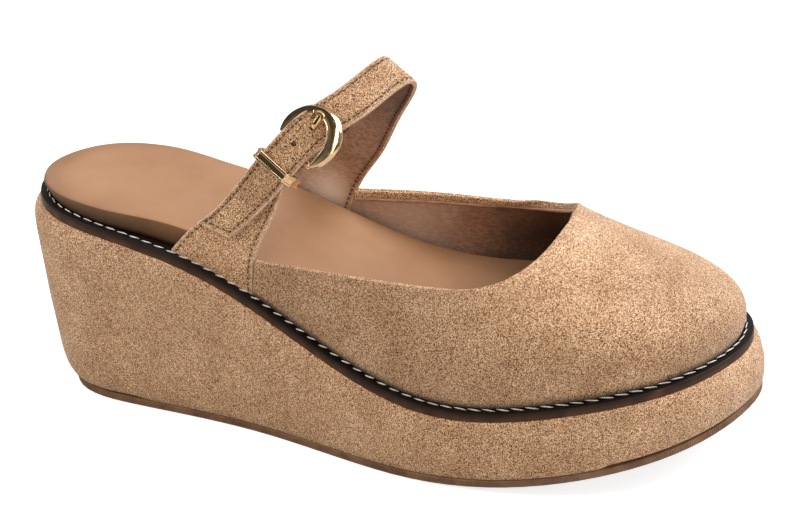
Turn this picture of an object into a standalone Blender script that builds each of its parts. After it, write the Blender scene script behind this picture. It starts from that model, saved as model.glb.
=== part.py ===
"""Right-foot platform wedge shoe: closed toe, open back, instep strap with a buckle.

Sizes are millimetres. x runs from heel to toe, y towards the medial side, z up from the floor.
"""
import bpy
import bmesh
import numpy as np

MM = 0.001
GAP = 0.3
SHARP_ANGLE = 0.6
FINE = 1600

# Plain finishes: colour, roughness, metallic
SUEDE = ((0.45, 0.28, 0.15), 0.95, 0.0)
WEDGE_SUEDE = ((0.42, 0.26, 0.14), 0.9, 0.0)
LEATHER = ((0.45, 0.27, 0.16), 0.5, 0.0)
DARK_RUBBER = ((0.04, 0.025, 0.02), 0.45, 0.0)
TREAD_RUBBER = ((0.16, 0.09, 0.05), 0.7, 0.0)
GOLD = ((0.83, 0.62, 0.33), 0.2, 1.0)

# Sole stack
OUTSOLE_THICK = 2.7
OUTSOLE_CHAMFER = 0.5
TOE_SPRING = 16.0
SPRING_START = 147.0
WELT_THICK = 3.8
WELT_LEDGE = 3.4
WELT_WIDTH = 15.0
SWELL_HEEL = 3.6
SWELL_SIDE = 1.0
SWELL_TOE = 2.0
SWELL_HEEL_BLEND = (14.0, 50.0)
SWELL_TOE_BLEND = (200.0, 246.0)
STATIONS = 54

# Outlines from above: end points, then rows of x, lateral half width, medial half width
TREAD_OUTLINE = {
    "heel": (15.2, -1.0),
    "toe": (253.4, 13.0),
    "rows": [
        (25.0, 23.5, 21.5),
        (46.0, 30.0, 29.2),
        (94.0, 34.5, 31.5),
        (145.0, 46.5, 39.0),
        (190.0, 47.2, 47.2),
        (228.0, 32.5, 42.0),
        (247.0, 12.0, 31.0),
    ],
}
WELT_OUTLINE = {
    "heel": (5.4, -1.0),
    "toe": (251.5, 8.3),
    "rows": [
        (13.5, 19.5, 19.6),
        (35.0, 30.6, 30.6),
        (90.0, 37.0, 31.5),
        (145.0, 47.3, 39.4),
        (190.0, 47.7, 47.0),
        (226.0, 34.5, 41.2),
        (244.0, 16.5, 30.0),
    ],
}

# Top of the wedge along the foot: x, height
WEDGE_LEVELS = [(0, 64.0), (40, 61.0), (80, 52.7), (120, 36.1), (160, 24.2), (200, 27.0), (250, 35.0)]
# Wedge side, as rows of height above its foot or below its top edge, and share of the swell
WEDGE_FOOT = [(0.0, -0.15), (1.0, 0.35), (3.0, 0.7), (7.0, 1.0)]
WEDGE_MIDDLE = 1.1
WEDGE_SHOULDER = [(8.0, 1.0), (4.5, 0.92), (2.4, 0.68), (0.9, 0.25), (0.0, -0.8)]

# Footbed: insets from the welt outline, rim overhang at the heel, height of the rim over the welt
FOOTBED_HEEL_INSET = 3.2
FOOTBED_FORE_INSET = 6.9
FOOTBED_INSET_BLEND = (36.0, 66.0)
FOOTBED_OVERHANG = 1.8
FOOTBED_OVERHANG_BLEND = (6.0, 40.0)
FOOTBED_RISE = [(0, 3.9), (60, 6.9), (100, 10.0), (130, 11.0), (170, 13.8), (200, 12.6), (250, 8.0)]
FOOTBED_EDGE_RADIUS = 1.2
FOOTBED_EDGE_BEND = 0.3

# Upper: wall, where its two rear edges stand on the welt, grid
WALL = 2.2
RIM_ROUND = 0.25
UPPER_LATERAL_REAR = 96.6
UPPER_MEDIAL_REAR = 103.0
UPPER_GRID = (66, 12)
# One row per section round the foot:
# share of the way round, top edge x, y, z, then the curve handles:
# rise and bulge at the welt, reach and drop at the top edge
UPPER_SECTIONS = [
    (0.00, 97.2, -33.6, 62.3, 4.0, 0.3, 0.2, 4.0),
    (0.10, 129.0, -37.2, 63.6, 9.0, 2.5, 1.5, 8.0),
    (0.20, 160.0, -37.6, 64.0, 15.0, 4.5, 4.0, 11.0),
    (0.27, 176.0, -35.0, 65.5, 17.0, 6.0, 7.0, 9.0),
    (0.34, 187.0, -26.5, 69.5, 19.0, 8.0, 14.0, 7.0),
    (0.42, 192.0, -12.0, 73.5, 20.0, 10.0, 24.0, 9.0),
    (0.50, 193.5, 4.0, 76.3, 20.2, 9.2, 30.6, 13.4),
    (0.57, 192.0, 15.0, 75.0, 17.4, 7.4, 26.2, 16.2),
    (0.65, 185.5, 25.5, 70.0, 16.4, 5.4, 14.2, 13.0),
    (0.73, 172.0, 32.5, 65.8, 17.0, 5.0, 6.0, 9.0),
    (0.82, 154.0, 34.0, 64.3, 14.0, 3.5, 3.0, 10.0),
    (0.91, 132.0, 32.0, 64.4, 10.0, 2.0, 1.0, 8.0),
    (1.00, 108.9, 29.4, 63.4, 5.0, 0.4, 0.2, 5.0),
]

# Strap: thickness, and its outer face from lateral foot to medial foot; the strap base lies under it
STRAP_THICK = 2.0
STRAP_BASE_FOOT = (65.5, 96.2)
STRAP_MEDIAL_FOOT = (74.0, 102.5)
STRAP_WIDTH = 12.8
# One row per section: rear edge x, y, z, then front edge x, y, z
STRAP_SECTIONS = [
    (73.0, -32.0, 69.9, 96.5, -35.4, 62.4),
    (80.5, -30.6, 75.9, 99.6, -32.8, 72.0),
    (87.3, -27.7, 83.6, 102.4, -29.4, 79.0),
    (95.3, -24.5, 94.4, 105.9, -25.6, 87.4),
    (107.0, -16.9, 106.8, 116.9, -18.7, 99.5),
    (116.3, -9.0, 114.3, 126.7, -11.0, 106.7),
    (122.8, 1.0, 119.2, 133.8, -1.1, 111.2),
    (127.2, 9.0, 121.2, 138.6, 7.4, 114.0),
    (125.4, 15.2, 115.8, 136.3, 13.4, 107.8),
    (117.0, 21.4, 103.4, 128.1, 19.4, 95.2),
    (105.5, 27.0, 88.0, 119.1, 25.0, 79.7),
    (90.0, 30.2, 73.0, 109.3, 28.9, 66.0),
]
STRAP_COLUMNS = (-1.0, -0.6, -0.2, 0.2, 0.6, 1.0)
STRAP_STEPS = 60
STRAP_BASE_STEPS = 22
# Places along the strap, counted in strap sections from the lateral foot
FREE_END = 1.58
KEEPER_PLACE = 4.12
BUCKLE_PLACE = 5.0
HOLE_HALF_LENGTH = 1.7
PRONG_HOLE_AHEAD = 2.2
SPARE_HOLE_AHEAD = -6.1
HOLE_CLEAR = 0.12
BASE_BEHIND_BAR = 2.2
TANGENT_STEP = 0.02

# Buckle, in its own plane: ahead is up the strap, across is towards its rear edge, lift is off the strap
BUCKLE_OUTER = 10.5
BUCKLE_CENTRE = (-0.5, -0.8)
BUCKLE_SWEEP = 133
BUCKLE_STEPS = 41
BUCKLE_BAND = 2.4
BUCKLE_ARM = 1.1
BUCKLE_BAR = 0.9
BUCKLE_BAR_SHARES = (0.2, 0.5, 0.8)
BUCKLE_HALF_THICK = 1.0
BUCKLE_LIFT_ROUND = 1.5
BUCKLE_LIFT_BAR = -3.7
# Degrees from the round end between which the rear and the front arm dip to the bar
BUCKLE_DIP_REAR = (80, 116)
BUCKLE_DIP_FRONT = (60, 128)
# Prong: distance ahead of the bar, ahead of its hole and at its tip, with the height of each
PRONG_BESIDE_BAR = (2.2, -3.7)
PRONG_UNDER_STRAP = [(-4.0, -3.3), (-1.0, -3.0)]
PRONG_THROUGH_HOLE = [(-0.1, -1.0), (0.8, 0.8), (2.1, 2.4)]
PRONG_TIP = (6.4, 3.75)
PRONG_HALF_WIDE = 0.9
PRONG_HALF_THICK = 0.6
KEEPER_WALL = 1.2
KEEPER_LENGTH = 3.4
KEEPER_SLACK = 0.45
KEEPER_CORNER = 1.0


def cubic(knots, values, at):
    """Natural cubic spline through values at knots, read at other places."""
    knots = np.asarray(knots, float)
    values = np.asarray(values, float)
    at = np.clip(np.asarray(at, float), knots[0], knots[-1])
    count = len(knots)
    step = np.diff(knots)
    slope = (np.diff(values, axis=0).T / step).T
    matrix = np.eye(count)
    right = np.zeros_like(values)
    for i in range(1, count - 1):
        matrix[i, i - 1:i + 2] = step[i - 1], 2 * (step[i - 1] + step[i]), step[i]
        right[i] = 6 * (slope[i] - slope[i - 1])
    bend = np.linalg.solve(matrix, right)
    i = np.clip(np.searchsorted(knots, at) - 1, 0, count - 2)
    b = (at - knots[i]) / step[i]
    a = 1 - b
    h = step[i]
    if values.ndim == 2:
        a, b, h = a[..., None], b[..., None], h[..., None]
    curve = ((a ** 3 - a) * bend[i] + (b ** 3 - b) * bend[i + 1]) * h ** 2 / 6
    return a * values[i] + b * values[i + 1] + curve


def smooth_step(x, start, end):
    """0 before start, 1 after end, a soft ramp between."""
    share = np.clip((np.asarray(x, float) - start) / (end - start), 0, 1)
    return share * share * (3 - 2 * share)


def closed_curve(points):
    """Smooth closed curve through a few points, as a fine polygon."""
    points = np.asarray(points, float)
    lap = len(points)
    wrapped = np.concatenate([points] * 3 + [points[:1]])
    chords = np.linalg.norm(np.diff(wrapped, axis=0), axis=1) ** 0.5
    knots = np.concatenate([[0.0], np.cumsum(chords)])
    places = np.linspace(knots[lap], knots[2 * lap], FINE, endpoint=False)
    return cubic(knots, wrapped, places)


def outline(shape):
    """Fine polygon of an outline table: heel, lateral side, toe, medial side."""
    lateral = [(x, -half) for x, half, _ in shape["rows"]]
    medial = [(x, half) for x, _, half in reversed(shape["rows"])]
    return closed_curve([shape["heel"]] + lateral + [shape["toe"]] + medial)


def outward(polygon):
    """Unit normals of a closed polygon that runs heel, lateral, toe, medial."""
    along = np.roll(polygon, -1, axis=0) - np.roll(polygon, 1, axis=0)
    normal = np.stack([along[:, 1], -along[:, 0]], axis=1)
    return normal / np.linalg.norm(normal, axis=1)[:, None]


def inset(polygon, distance):
    """Polygon moved inwards; distance may be one number or one per point."""
    return polygon - outward(polygon) * np.reshape(distance, (-1, 1))


def ladder(polygon):
    """Ring of points with lateral and medial points paired at the same x: heel, lateral, toe, medial."""
    polygon = np.roll(polygon, -polygon[:, 0].argmin(), axis=0)
    toe = polygon[:, 0].argmax()
    lateral = polygon[:toe + 1]
    medial = np.concatenate([polygon[toe:], polygon[:1]])[::-1]
    share = (1 - np.cos(np.linspace(0, np.pi, STATIONS + 1))) / 2
    x = polygon[0, 0] + (polygon[toe, 0] - polygon[0, 0]) * share
    ring_lateral = np.stack([x, np.interp(x, lateral[:, 0], lateral[:, 1])], axis=1)
    ring_medial = np.stack([x, np.interp(x, medial[:, 0], medial[:, 1])], axis=1)
    return np.concatenate([ring_lateral, ring_medial[-2:0:-1]])


def side_of(polygon, medial):
    """Half of an outline as rows of x and y with x rising, to look up y at a given x."""
    half = polygon[polygon[:, 1] > 0] if medial else polygon[polygon[:, 1] < 0]
    return half[np.argsort(half[:, 0])]


def spring(x):
    """Lift of the tread under the toe."""
    share = np.clip((x - SPRING_START) / (TREAD_OUTLINE["toe"][0] - SPRING_START), 0, None)
    return TOE_SPRING * share ** 2


def wedge_top(x):
    rows = np.array(WEDGE_LEVELS, float)
    return cubic(rows[:, 0], rows[:, 1], x)


def welt_top(x):
    return wedge_top(x) + GAP + WELT_THICK


def footbed_top(x):
    rows = np.array(FOOTBED_RISE, float)
    return welt_top(x) + GAP + cubic(rows[:, 0], rows[:, 1], x)


def lift(ring, level):
    """Ring in plan raised to a level that depends on x."""
    return np.column_stack([ring, level(ring[:, 0])])


def grid_faces(rows, columns, wrap_rows=False, wrap_columns=False):
    """Quads of a grid whose points are stored row after row."""
    faces = []
    for r in range(rows if wrap_rows else rows - 1):
        for c in range(columns if wrap_columns else columns - 1):
            r2 = (r + 1) % rows
            c2 = (c + 1) % columns
            faces.append((r * columns + c, r * columns + c2, r2 * columns + c2, r2 * columns + c))
    return faces


def ladder_cap(first):
    """Faces that close a ladder ring: quads across the foot, a triangle at each end."""
    ring = 2 * STATIONS
    faces = []
    for i in range(STATIONS):
        corners = [i, i + 1, (ring - i - 1) % ring, (ring - i) % ring]
        faces.append(tuple(first + c for c in dict.fromkeys(corners)))
    return faces


def finish_piece(name, points, faces, finish):
    """Closed mesh object in metres with its own material."""
    mesh = bpy.data.meshes.new(name)
    mesh.from_pydata([tuple(p) for p in np.asarray(points) * MM], [], faces)
    shape = bmesh.new()
    shape.from_mesh(mesh)
    bmesh.ops.recalc_face_normals(shape, faces=shape.faces)
    shape.to_mesh(mesh)
    shape.free()
    mesh.shade_smooth()
    mesh.set_sharp_from_angle(angle=SHARP_ANGLE)
    colour, roughness, metallic = finish
    material = bpy.data.materials.new(name)
    material.use_nodes = True
    shader = material.node_tree.nodes["Principled BSDF"]
    shader.inputs["Base Color"].default_value = (*colour, 1.0)
    shader.inputs["Roughness"].default_value = roughness
    shader.inputs["Metallic"].default_value = metallic
    mesh.materials.append(material)
    piece = bpy.data.objects.new(name, mesh)
    bpy.context.collection.objects.link(piece)
    return piece


def solid_from_rings(name, rings, finish):
    """Solid lofted through ladder rings from bottom to top, closed at both ends."""
    size = 2 * STATIONS
    faces = grid_faces(len(rings), size, wrap_columns=True)
    faces += ladder_cap(0) + ladder_cap((len(rings) - 1) * size)
    return finish_piece(name, np.concatenate(rings), faces, finish)


def make_outsole():
    tread = outline(TREAD_OUTLINE)
    edge = ladder(tread)
    foot = ladder(inset(tread, OUTSOLE_CHAMFER))
    rings = [
        lift(foot, spring),
        lift(edge, lambda x: spring(x) + OUTSOLE_CHAMFER),
        lift(edge, lambda x: spring(x) + OUTSOLE_THICK),
    ]
    return solid_from_rings("outsole", rings, TREAD_RUBBER)


def make_wedge():
    """Platform between outsole and welt; its shoulder swells past the welt, most of all at the toe."""
    tread = ladder(outline(TREAD_OUTLINE))
    welt = ladder(outline(WELT_OUTLINE))
    heel_share = 1 - smooth_step(welt[:, 0], *SWELL_HEEL_BLEND)
    toe_share = smooth_step(welt[:, 0], *SWELL_TOE_BLEND)
    swell = SWELL_SIDE + (SWELL_HEEL - SWELL_SIDE) * heel_share + (SWELL_TOE - SWELL_SIDE) * toe_share
    floor = spring(tread[:, 0]) + OUTSOLE_THICK + GAP
    roof = wedge_top(welt[:, 0])

    def ring(height, share):
        up = ((height - floor) / (roof - floor))[:, None]
        plan = tread * (1 - up) + welt * up
        plan = plan + outward(plan) * (swell * share)[:, None]
        base = spring(plan[:, 0]) + OUTSOLE_THICK + GAP
        return np.column_stack([plan, base + (wedge_top(plan[:, 0]) - base) * up[:, 0]])

    rings = [ring(floor + above, share) for above, share in WEDGE_FOOT]
    rings.append(ring((floor + roof) / 2, WEDGE_MIDDLE))
    rings += [ring(roof - below, share) for below, share in WEDGE_SHOULDER]
    return solid_from_rings("wedge", rings, WEDGE_SUEDE)


def make_welt():
    """Flat strip all round, open in the middle where the footbed drops in."""
    shape = outline(WELT_OUTLINE)
    outer = ladder(shape)
    inner = ladder(inset(shape, WELT_WIDTH))
    rings = [
        lift(outer, lambda x: wedge_top(x) + GAP),
        lift(outer, welt_top),
        lift(inner, welt_top),
        lift(inner, lambda x: wedge_top(x) + GAP),
    ]
    faces = grid_faces(len(rings), 2 * STATIONS, wrap_rows=True, wrap_columns=True)
    return finish_piece("welt", np.concatenate(rings), faces, DARK_RUBBER)


def make_footbed():
    """Insole: a plug inside the welt strip, and a slab above it with a rounded rim."""
    shape = outline(WELT_OUTLINE)
    fore = smooth_step(shape[:, 0], *FOOTBED_INSET_BLEND)
    base = FOOTBED_HEEL_INSET + (FOOTBED_FORE_INSET - FOOTBED_HEEL_INSET) * fore
    rim = base - FOOTBED_OVERHANG * (1 - smooth_step(shape[:, 0], *FOOTBED_OVERHANG_BLEND))
    plug = ladder(inset(shape, WELT_WIDTH + GAP))
    radius = FOOTBED_EDGE_RADIUS
    bend = FOOTBED_EDGE_BEND * radius
    rings = [
        lift(plug, lambda x: wedge_top(x) + GAP),
        lift(plug, lambda x: welt_top(x) + GAP),
        lift(ladder(inset(shape, base)), lambda x: welt_top(x) + GAP),
        lift(ladder(inset(shape, rim)), lambda x: footbed_top(x) - radius),
        lift(ladder(inset(shape, rim + bend)), lambda x: footbed_top(x) - bend),
        lift(ladder(inset(shape, rim + radius)), footbed_top),
    ]
    return solid_from_rings("footbed", rings, LEATHER)


def feather_line():
    """Foot of the upper on the welt, from lateral rear round the toe to medial rear, with outward normals."""
    shape = inset(outline(WELT_OUTLINE), WELT_LEDGE)
    normal = outward(shape)
    start = np.argmax((shape[:, 0] >= UPPER_LATERAL_REAR) & (shape[:, 1] < 0))
    end = len(shape) - 1 - np.argmax(((shape[:, 0] >= UPPER_MEDIAL_REAR) & (shape[:, 1] > 0))[::-1])
    line = shape[start:end + 1]
    along = np.concatenate([[0.0], np.cumsum(np.linalg.norm(np.diff(line, axis=0), axis=1))])
    share = np.linspace(0, 1, UPPER_GRID[0] + 1)
    pick = [np.interp(share * along[-1], along, column) for column in (*line.T, *normal[start:end + 1].T)]
    return share, np.stack(pick[:2], axis=1), np.stack(pick[2:], axis=1)


def upper_surface():
    """Outer face of the upper: one curve per section, from the welt up and over to the top edge."""
    share, foot, normal = feather_line()
    rows = np.array(UPPER_SECTIONS)
    values = cubic(rows[:, 0], rows[:, 1:], share)
    top = values[:, :3]
    rise, bulge, reach, drop = (values[:, k:k + 1] for k in range(3, 7))
    out = np.column_stack([normal, np.zeros(len(normal))])
    up = np.array([0.0, 0.0, 1.0])
    start = lift(foot, lambda x: welt_top(x) + GAP)
    along = np.column_stack([-normal[:, 1], normal[:, 0], np.zeros(len(normal))])
    height = top[:, 2:] - start[:, 2:]
    slide = along * np.sum((top - start) * along, axis=1, keepdims=True) / height
    controls = [
        start,
        start + out * bulge + (up + slide) * rise,
        top + out * reach - (up + slide) * drop,
        top,
    ]
    v = np.linspace(0, 1, UPPER_GRID[1] + 1)
    weights = [(1 - v) ** 3, 3 * v * (1 - v) ** 2, 3 * v ** 2 * (1 - v), v ** 3]
    return sum(c[:, None, :] * w[None, :, None] for c, w in zip(controls, weights))


def surface_normals(grid):
    """Unit normals of a grid of points."""
    normal = np.cross(np.gradient(grid, axis=0), np.gradient(grid, axis=1))
    return normal / np.linalg.norm(normal, axis=2)[:, :, None]


def make_upper():
    """Vamp and quarters: one wall round the toe, open above, behind and below."""
    outer = upper_surface()
    normal = surface_normals(outer)
    if np.mean(normal[:, 1, :2] * (outer[:, 1, :2] - outer[:, 1, :2].mean(axis=0))) < 0:
        normal = -normal
    inner = outer - normal * WALL
    inner[:, 0, 2] = welt_top(inner[:, 0, 0]) + GAP
    rim = (outer[:, -1] + inner[:, -1]) / 2
    rim[:, 2] += RIM_ROUND * WALL
    loop = np.concatenate([outer, rim[:, None], inner[:, ::-1]], axis=1)
    rows, columns = loop.shape[:2]
    faces = grid_faces(rows, columns, wrap_columns=True)
    faces += end_faces(columns, 0) + end_faces(columns, (rows - 1) * columns)
    return finish_piece("upper", loop.reshape(-1, 3), faces, SUEDE)


def end_faces(columns, first):
    """Faces that close one end of a wall whose section runs up one side, over the rim and down the other."""
    faces = []
    for i in range(columns // 2):
        corners = [i, i + 1, columns - 2 - i, columns - 1 - i]
        faces.append(tuple(first + c for c in dict.fromkeys(corners)))
    return faces


def strap_face():
    """Rows of the strap's outer face, from lateral foot to medial foot, with the strap base below it."""
    shape = outline(WELT_OUTLINE)
    across = (np.array(STRAP_COLUMNS) + 1) / 2
    rows = []
    for foot, ledge, medial in (
        (STRAP_BASE_FOOT, WELT_LEDGE - STRAP_THICK - GAP, False),
        (STRAP_MEDIAL_FOOT, WELT_LEDGE, True),
    ):
        x = foot[0] + (foot[1] - foot[0]) * across
        half = side_of(inset(shape, ledge), medial)
        y = np.interp(x, half[:, 0], half[:, 1])
        rows.append(np.column_stack([x, y, welt_top(x) + GAP]))
    sections = np.array(STRAP_SECTIONS)
    share = across[None, :, None]
    middle = sections[:, None, :3] * (1 - share) + sections[:, None, 3:] * share
    return np.concatenate([rows[:1], middle, rows[1:]])


def strap_rows(places):
    """Strap face and its outward normals at places counted in sections."""
    rows = strap_face()
    knots = np.arange(len(rows))
    flat = rows.reshape(len(rows), -1)

    def read(at):
        return cubic(knots, flat, at).reshape(len(at), -1, 3)

    places = np.asarray(places, float)
    ahead = read(places + TANGENT_STEP) - read(places - TANGENT_STEP)
    face = read(places)
    normal = np.cross(np.gradient(face, axis=1), ahead)
    return face, normal / np.linalg.norm(normal, axis=2)[:, :, None]


def place_ahead(place, distance):
    """Place along the strap a given number of millimetres ahead of another place."""
    fine = np.linspace(0, len(STRAP_SECTIONS) + 1, FINE)
    middle = strap_rows(fine)[0].mean(axis=1)
    along = np.concatenate([[0.0], np.cumsum(np.linalg.norm(np.diff(middle, axis=0), axis=1))])
    return float(np.interp(np.interp(place, fine, along) + distance, along, fine))


def band(name, places, low, high, holes, feet, widest):
    """Flat strap between two depths below the strap face, with cells left out where holes are punched."""
    face, normal = strap_rows(places)
    wide = np.linalg.norm(face[:, -1] - face[:, 0], axis=1)
    rear = face[:, :1]
    face = rear + (face - rear) * np.minimum(1, widest(places) / wide)[:, None, None]
    layers = [face - normal * low, face - normal * high]
    for layer in layers:
        for row in feet:
            layer[row, :, 2] = welt_top(layer[row, :, 0]) + GAP
    rows, columns = face.shape[:2]
    size = rows * columns
    middle = columns // 2 - 1
    punched = {(int(np.argmin(abs(places - hole))), middle) for hole in holes}
    faces = []
    for index, corners in enumerate(grid_faces(rows, columns)):
        cell = (index // (columns - 1), index % (columns - 1))
        if cell not in punched:
            faces.append(corners)
            faces.append(tuple(size + c for c in reversed(corners)))
            continue
        for a, b in zip(corners, corners[1:] + corners[:1]):
            faces.append((a, b, size + b, size + a))
    border = list(range(columns))
    border += [r * columns + columns - 1 for r in range(1, rows)]
    border += [size - 1 - c for c in range(1, columns)]
    border += [r * columns for r in range(rows - 2, 0, -1)]
    for a, b in zip(border, border[1:] + border[:1]):
        faces.append((a, b, size + b, size + a))
    return finish_piece(name, np.concatenate([layer.reshape(-1, 3) for layer in layers]), faces, SUEDE)


def hole_starts():
    """Places where the punched cells of the strap begin and end."""
    starts = []
    ends = []
    for ahead in (PRONG_HOLE_AHEAD, SPARE_HOLE_AHEAD):
        starts.append(place_ahead(BUCKLE_PLACE, ahead - HOLE_HALF_LENGTH))
        ends.append(place_ahead(BUCKLE_PLACE, ahead + HOLE_HALF_LENGTH))
    return starts, ends


def make_strap():
    starts, ends = hole_starts()
    last = len(STRAP_SECTIONS) + 1
    steady = np.linspace(FREE_END, last, STRAP_STEPS)
    clear = [
        p for p in steady
        if not any(start - HOLE_CLEAR < p < end + HOLE_CLEAR for start, end in zip(starts, ends))
    ]
    places = np.array(sorted(clear + starts + ends))

    def widest(place):
        return np.where(place < KEEPER_PLACE, STRAP_WIDTH, np.inf)

    return band("strap", places, 0.0, STRAP_THICK, starts, [-1], widest)


def make_strap_base():
    top = place_ahead(BUCKLE_PLACE, bar_ahead() - BASE_BEHIND_BAR)
    places = np.linspace(0, top, STRAP_BASE_STEPS)
    below = STRAP_THICK + GAP

    def widest(place):
        return np.full(len(place), np.inf)

    return band("strap_base", places, below, below + STRAP_THICK, [], [0], widest)


def strap_frame(place):
    """Local axes on the strap's outer side: origin, ahead, across, off."""
    face, normal = strap_rows([place - TANGENT_STEP, place, place + TANGENT_STEP])
    off = normal[1].mean(axis=0)
    off /= np.linalg.norm(off)
    ahead = face[2].mean(axis=0) - face[0].mean(axis=0)
    ahead -= off * ahead.dot(off)
    ahead /= np.linalg.norm(ahead)
    return face[1].mean(axis=0), ahead, np.cross(off, ahead), off


def sweep(name, path, sizes, side, closed, corners=8):
    """Gold rod with an eight-sided or boxy section along a path; sizes are half width and half thickness."""
    path = np.asarray(path, float)
    along = np.roll(path, -1, axis=0) - np.roll(path, 1, axis=0)
    if not closed:
        along = np.gradient(path, axis=0)
    along /= np.linalg.norm(along, axis=1)[:, None]
    flat = np.cross(side, along)
    flat /= np.linalg.norm(flat, axis=1)[:, None]
    thick = np.cross(along, flat)
    turn = (np.arange(corners) + 0.5) * 2 * np.pi / corners
    scale = 1 / np.cos(np.pi / corners)
    sizes = np.broadcast_to(sizes, (len(path), 2)) * scale
    rings = [
        p + np.outer(np.cos(turn) * s[0], f) + np.outer(np.sin(turn) * s[1], t)
        for p, s, f, t in zip(path, sizes, flat, thick)
    ]
    faces = grid_faces(len(path), corners, wrap_rows=closed, wrap_columns=True)
    if not closed:
        faces.append(tuple(range(corners)))
        faces.append(tuple((len(path) - 1) * corners + c for c in range(corners)))
    return finish_piece(name, np.concatenate(rings), faces, GOLD)


def bar_ahead():
    """Distance of the buckle's bar ahead of the buckle's place; it is behind it, so less than zero."""
    return BUCKLE_CENTRE[0] + (BUCKLE_OUTER - BUCKLE_ARM) * np.cos(np.radians(BUCKLE_SWEEP))


def make_buckle_frame():
    """Horseshoe that lies over the strap at its round end; its arms dip past the strap to the bar below."""
    origin, ahead, across, off = strap_frame(BUCKLE_PLACE)
    bearing = np.linspace(-BUCKLE_SWEEP, BUCKLE_SWEEP, BUCKLE_STEPS)
    turn = np.radians(bearing)
    narrow = smooth_step(abs(bearing), 0, BUCKLE_SWEEP)
    half_wide = BUCKLE_BAND + (BUCKLE_ARM - BUCKLE_BAND) * narrow
    half_thick = BUCKLE_HALF_THICK + (BUCKLE_BAR - BUCKLE_HALF_THICK) * narrow
    radius = BUCKLE_OUTER - half_wide
    plan = np.column_stack([radius * np.cos(turn), radius * np.sin(turn)]) + BUCKLE_CENTRE
    dip = np.interp(bearing, BUCKLE_DIP_REAR, (0, 1)) + np.interp(-bearing, BUCKLE_DIP_FRONT, (0, 1))
    height = BUCKLE_LIFT_ROUND + (BUCKLE_LIFT_BAR - BUCKLE_LIFT_ROUND) * dip
    horseshoe = np.column_stack([plan, height, half_wide, half_thick])
    share = np.array(BUCKLE_BAR_SHARES)[:, None]
    bar = horseshoe[-1] * (1 - share) + horseshoe[0] * share
    bar[:, 3:] = BUCKLE_BAR
    rows = np.concatenate([horseshoe, bar])
    path = origin + rows[:, :3] @ np.array([ahead, across, off])
    return sweep("buckle_frame", path, rows[:, 3:], off, True)


def make_buckle_prong():
    """Prong from beside the bar, under the strap, up through its hole and over the round end."""
    origin, ahead, across, off = strap_frame(BUCKLE_PLACE)
    rows = [(bar_ahead() + PRONG_BESIDE_BAR[0], PRONG_BESIDE_BAR[1])]
    rows += [(PRONG_HOLE_AHEAD + along, height) for along, height in PRONG_UNDER_STRAP + PRONG_THROUGH_HOLE]
    rows.append(PRONG_TIP)
    path = [origin + ahead * along + off * height for along, height in rows]
    sizes = (PRONG_HALF_THICK, PRONG_HALF_WIDE)
    return sweep("buckle_prong", path, sizes, across, False)


def make_keeper():
    """Rectangular loop round the strap and the strap base."""
    origin, ahead, across, off = strap_frame(KEEPER_PLACE)
    face = strap_rows([KEEPER_PLACE])[0][0]
    half = np.linalg.norm(face[-1] - face[0]) / 2 + KEEPER_SLACK + KEEPER_WALL / 2
    high = KEEPER_SLACK + KEEPER_WALL / 2
    low = -2 * STRAP_THICK - GAP - KEEPER_SLACK - KEEPER_WALL / 2
    cut = KEEPER_CORNER
    plan = [
        (half, high - cut), (half - cut, high), (cut - half, high), (-half, high - cut),
        (-half, low + cut), (cut - half, low), (half - cut, low), (half, low + cut),
    ]
    path = [origin + across * a + off * h for a, h in plan]
    return sweep("keeper", path, (KEEPER_WALL / 2, KEEPER_LENGTH / 2), ahead, True, 4)


def stand_on_origin(pieces):
    """Parent everything to one empty and set the middle of the shoe's footprint over the origin."""
    root = bpy.data.objects.new("shoe", None)
    bpy.context.collection.objects.link(root)
    corners = np.concatenate([[v.co[:] for v in piece.data.vertices] for piece in pieces])
    middle = (corners.min(axis=0) + corners.max(axis=0)) / 2
    root.location = (-middle[0], -middle[1], -corners[:, 2].min())
    for piece in pieces:
        piece.parent = root


for old in list(bpy.data.objects):
    bpy.data.objects.remove(old)

stand_on_origin([
    make_outsole(),
    make_wedge(),
    make_welt(),
    make_footbed(),
    make_upper(),
    make_strap_base(),
    make_strap(),
    make_buckle_frame(),
    make_buckle_prong(),
    make_keeper(),
])
bpy.context.view_layer.update()
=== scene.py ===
"""Looks of a right-foot platform wedge shoe in tan suede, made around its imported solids.

Lengths are metres in the row frame: x from heel to toe, y to the medial side, z up from the floor.
"""
import math

import bmesh
import bpy
import numpy as np
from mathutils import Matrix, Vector
from mathutils.bvhtree import BVHTree


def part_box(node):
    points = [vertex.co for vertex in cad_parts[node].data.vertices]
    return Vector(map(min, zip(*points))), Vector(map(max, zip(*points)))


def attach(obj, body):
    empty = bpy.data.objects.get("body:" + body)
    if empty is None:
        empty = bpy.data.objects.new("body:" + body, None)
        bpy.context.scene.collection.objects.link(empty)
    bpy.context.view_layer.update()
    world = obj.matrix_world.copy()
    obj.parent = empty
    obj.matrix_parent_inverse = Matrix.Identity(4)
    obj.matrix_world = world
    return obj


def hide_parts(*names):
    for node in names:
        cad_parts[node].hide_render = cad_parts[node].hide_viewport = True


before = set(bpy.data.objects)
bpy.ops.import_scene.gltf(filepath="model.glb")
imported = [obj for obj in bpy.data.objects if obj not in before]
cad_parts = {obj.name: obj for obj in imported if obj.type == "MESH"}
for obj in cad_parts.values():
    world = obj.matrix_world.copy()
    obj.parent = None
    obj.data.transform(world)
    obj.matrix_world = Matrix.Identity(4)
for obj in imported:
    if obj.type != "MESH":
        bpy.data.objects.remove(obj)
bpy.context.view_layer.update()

# Outsole
# A thin sheet of brown moulded rubber under the whole wedge. The mould leaves fine upright ribs round its
# edge, and rows of low bars on its underside give the grip.
MM = 0.001
MERGE_DISTANCE = 0.01 * MM
QUAD_BEND = math.radians(40)
QUAD_SKEW = math.radians(80)
BEVEL_ANGLE = math.radians(35)
RIM_ANGLE = 60
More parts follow.
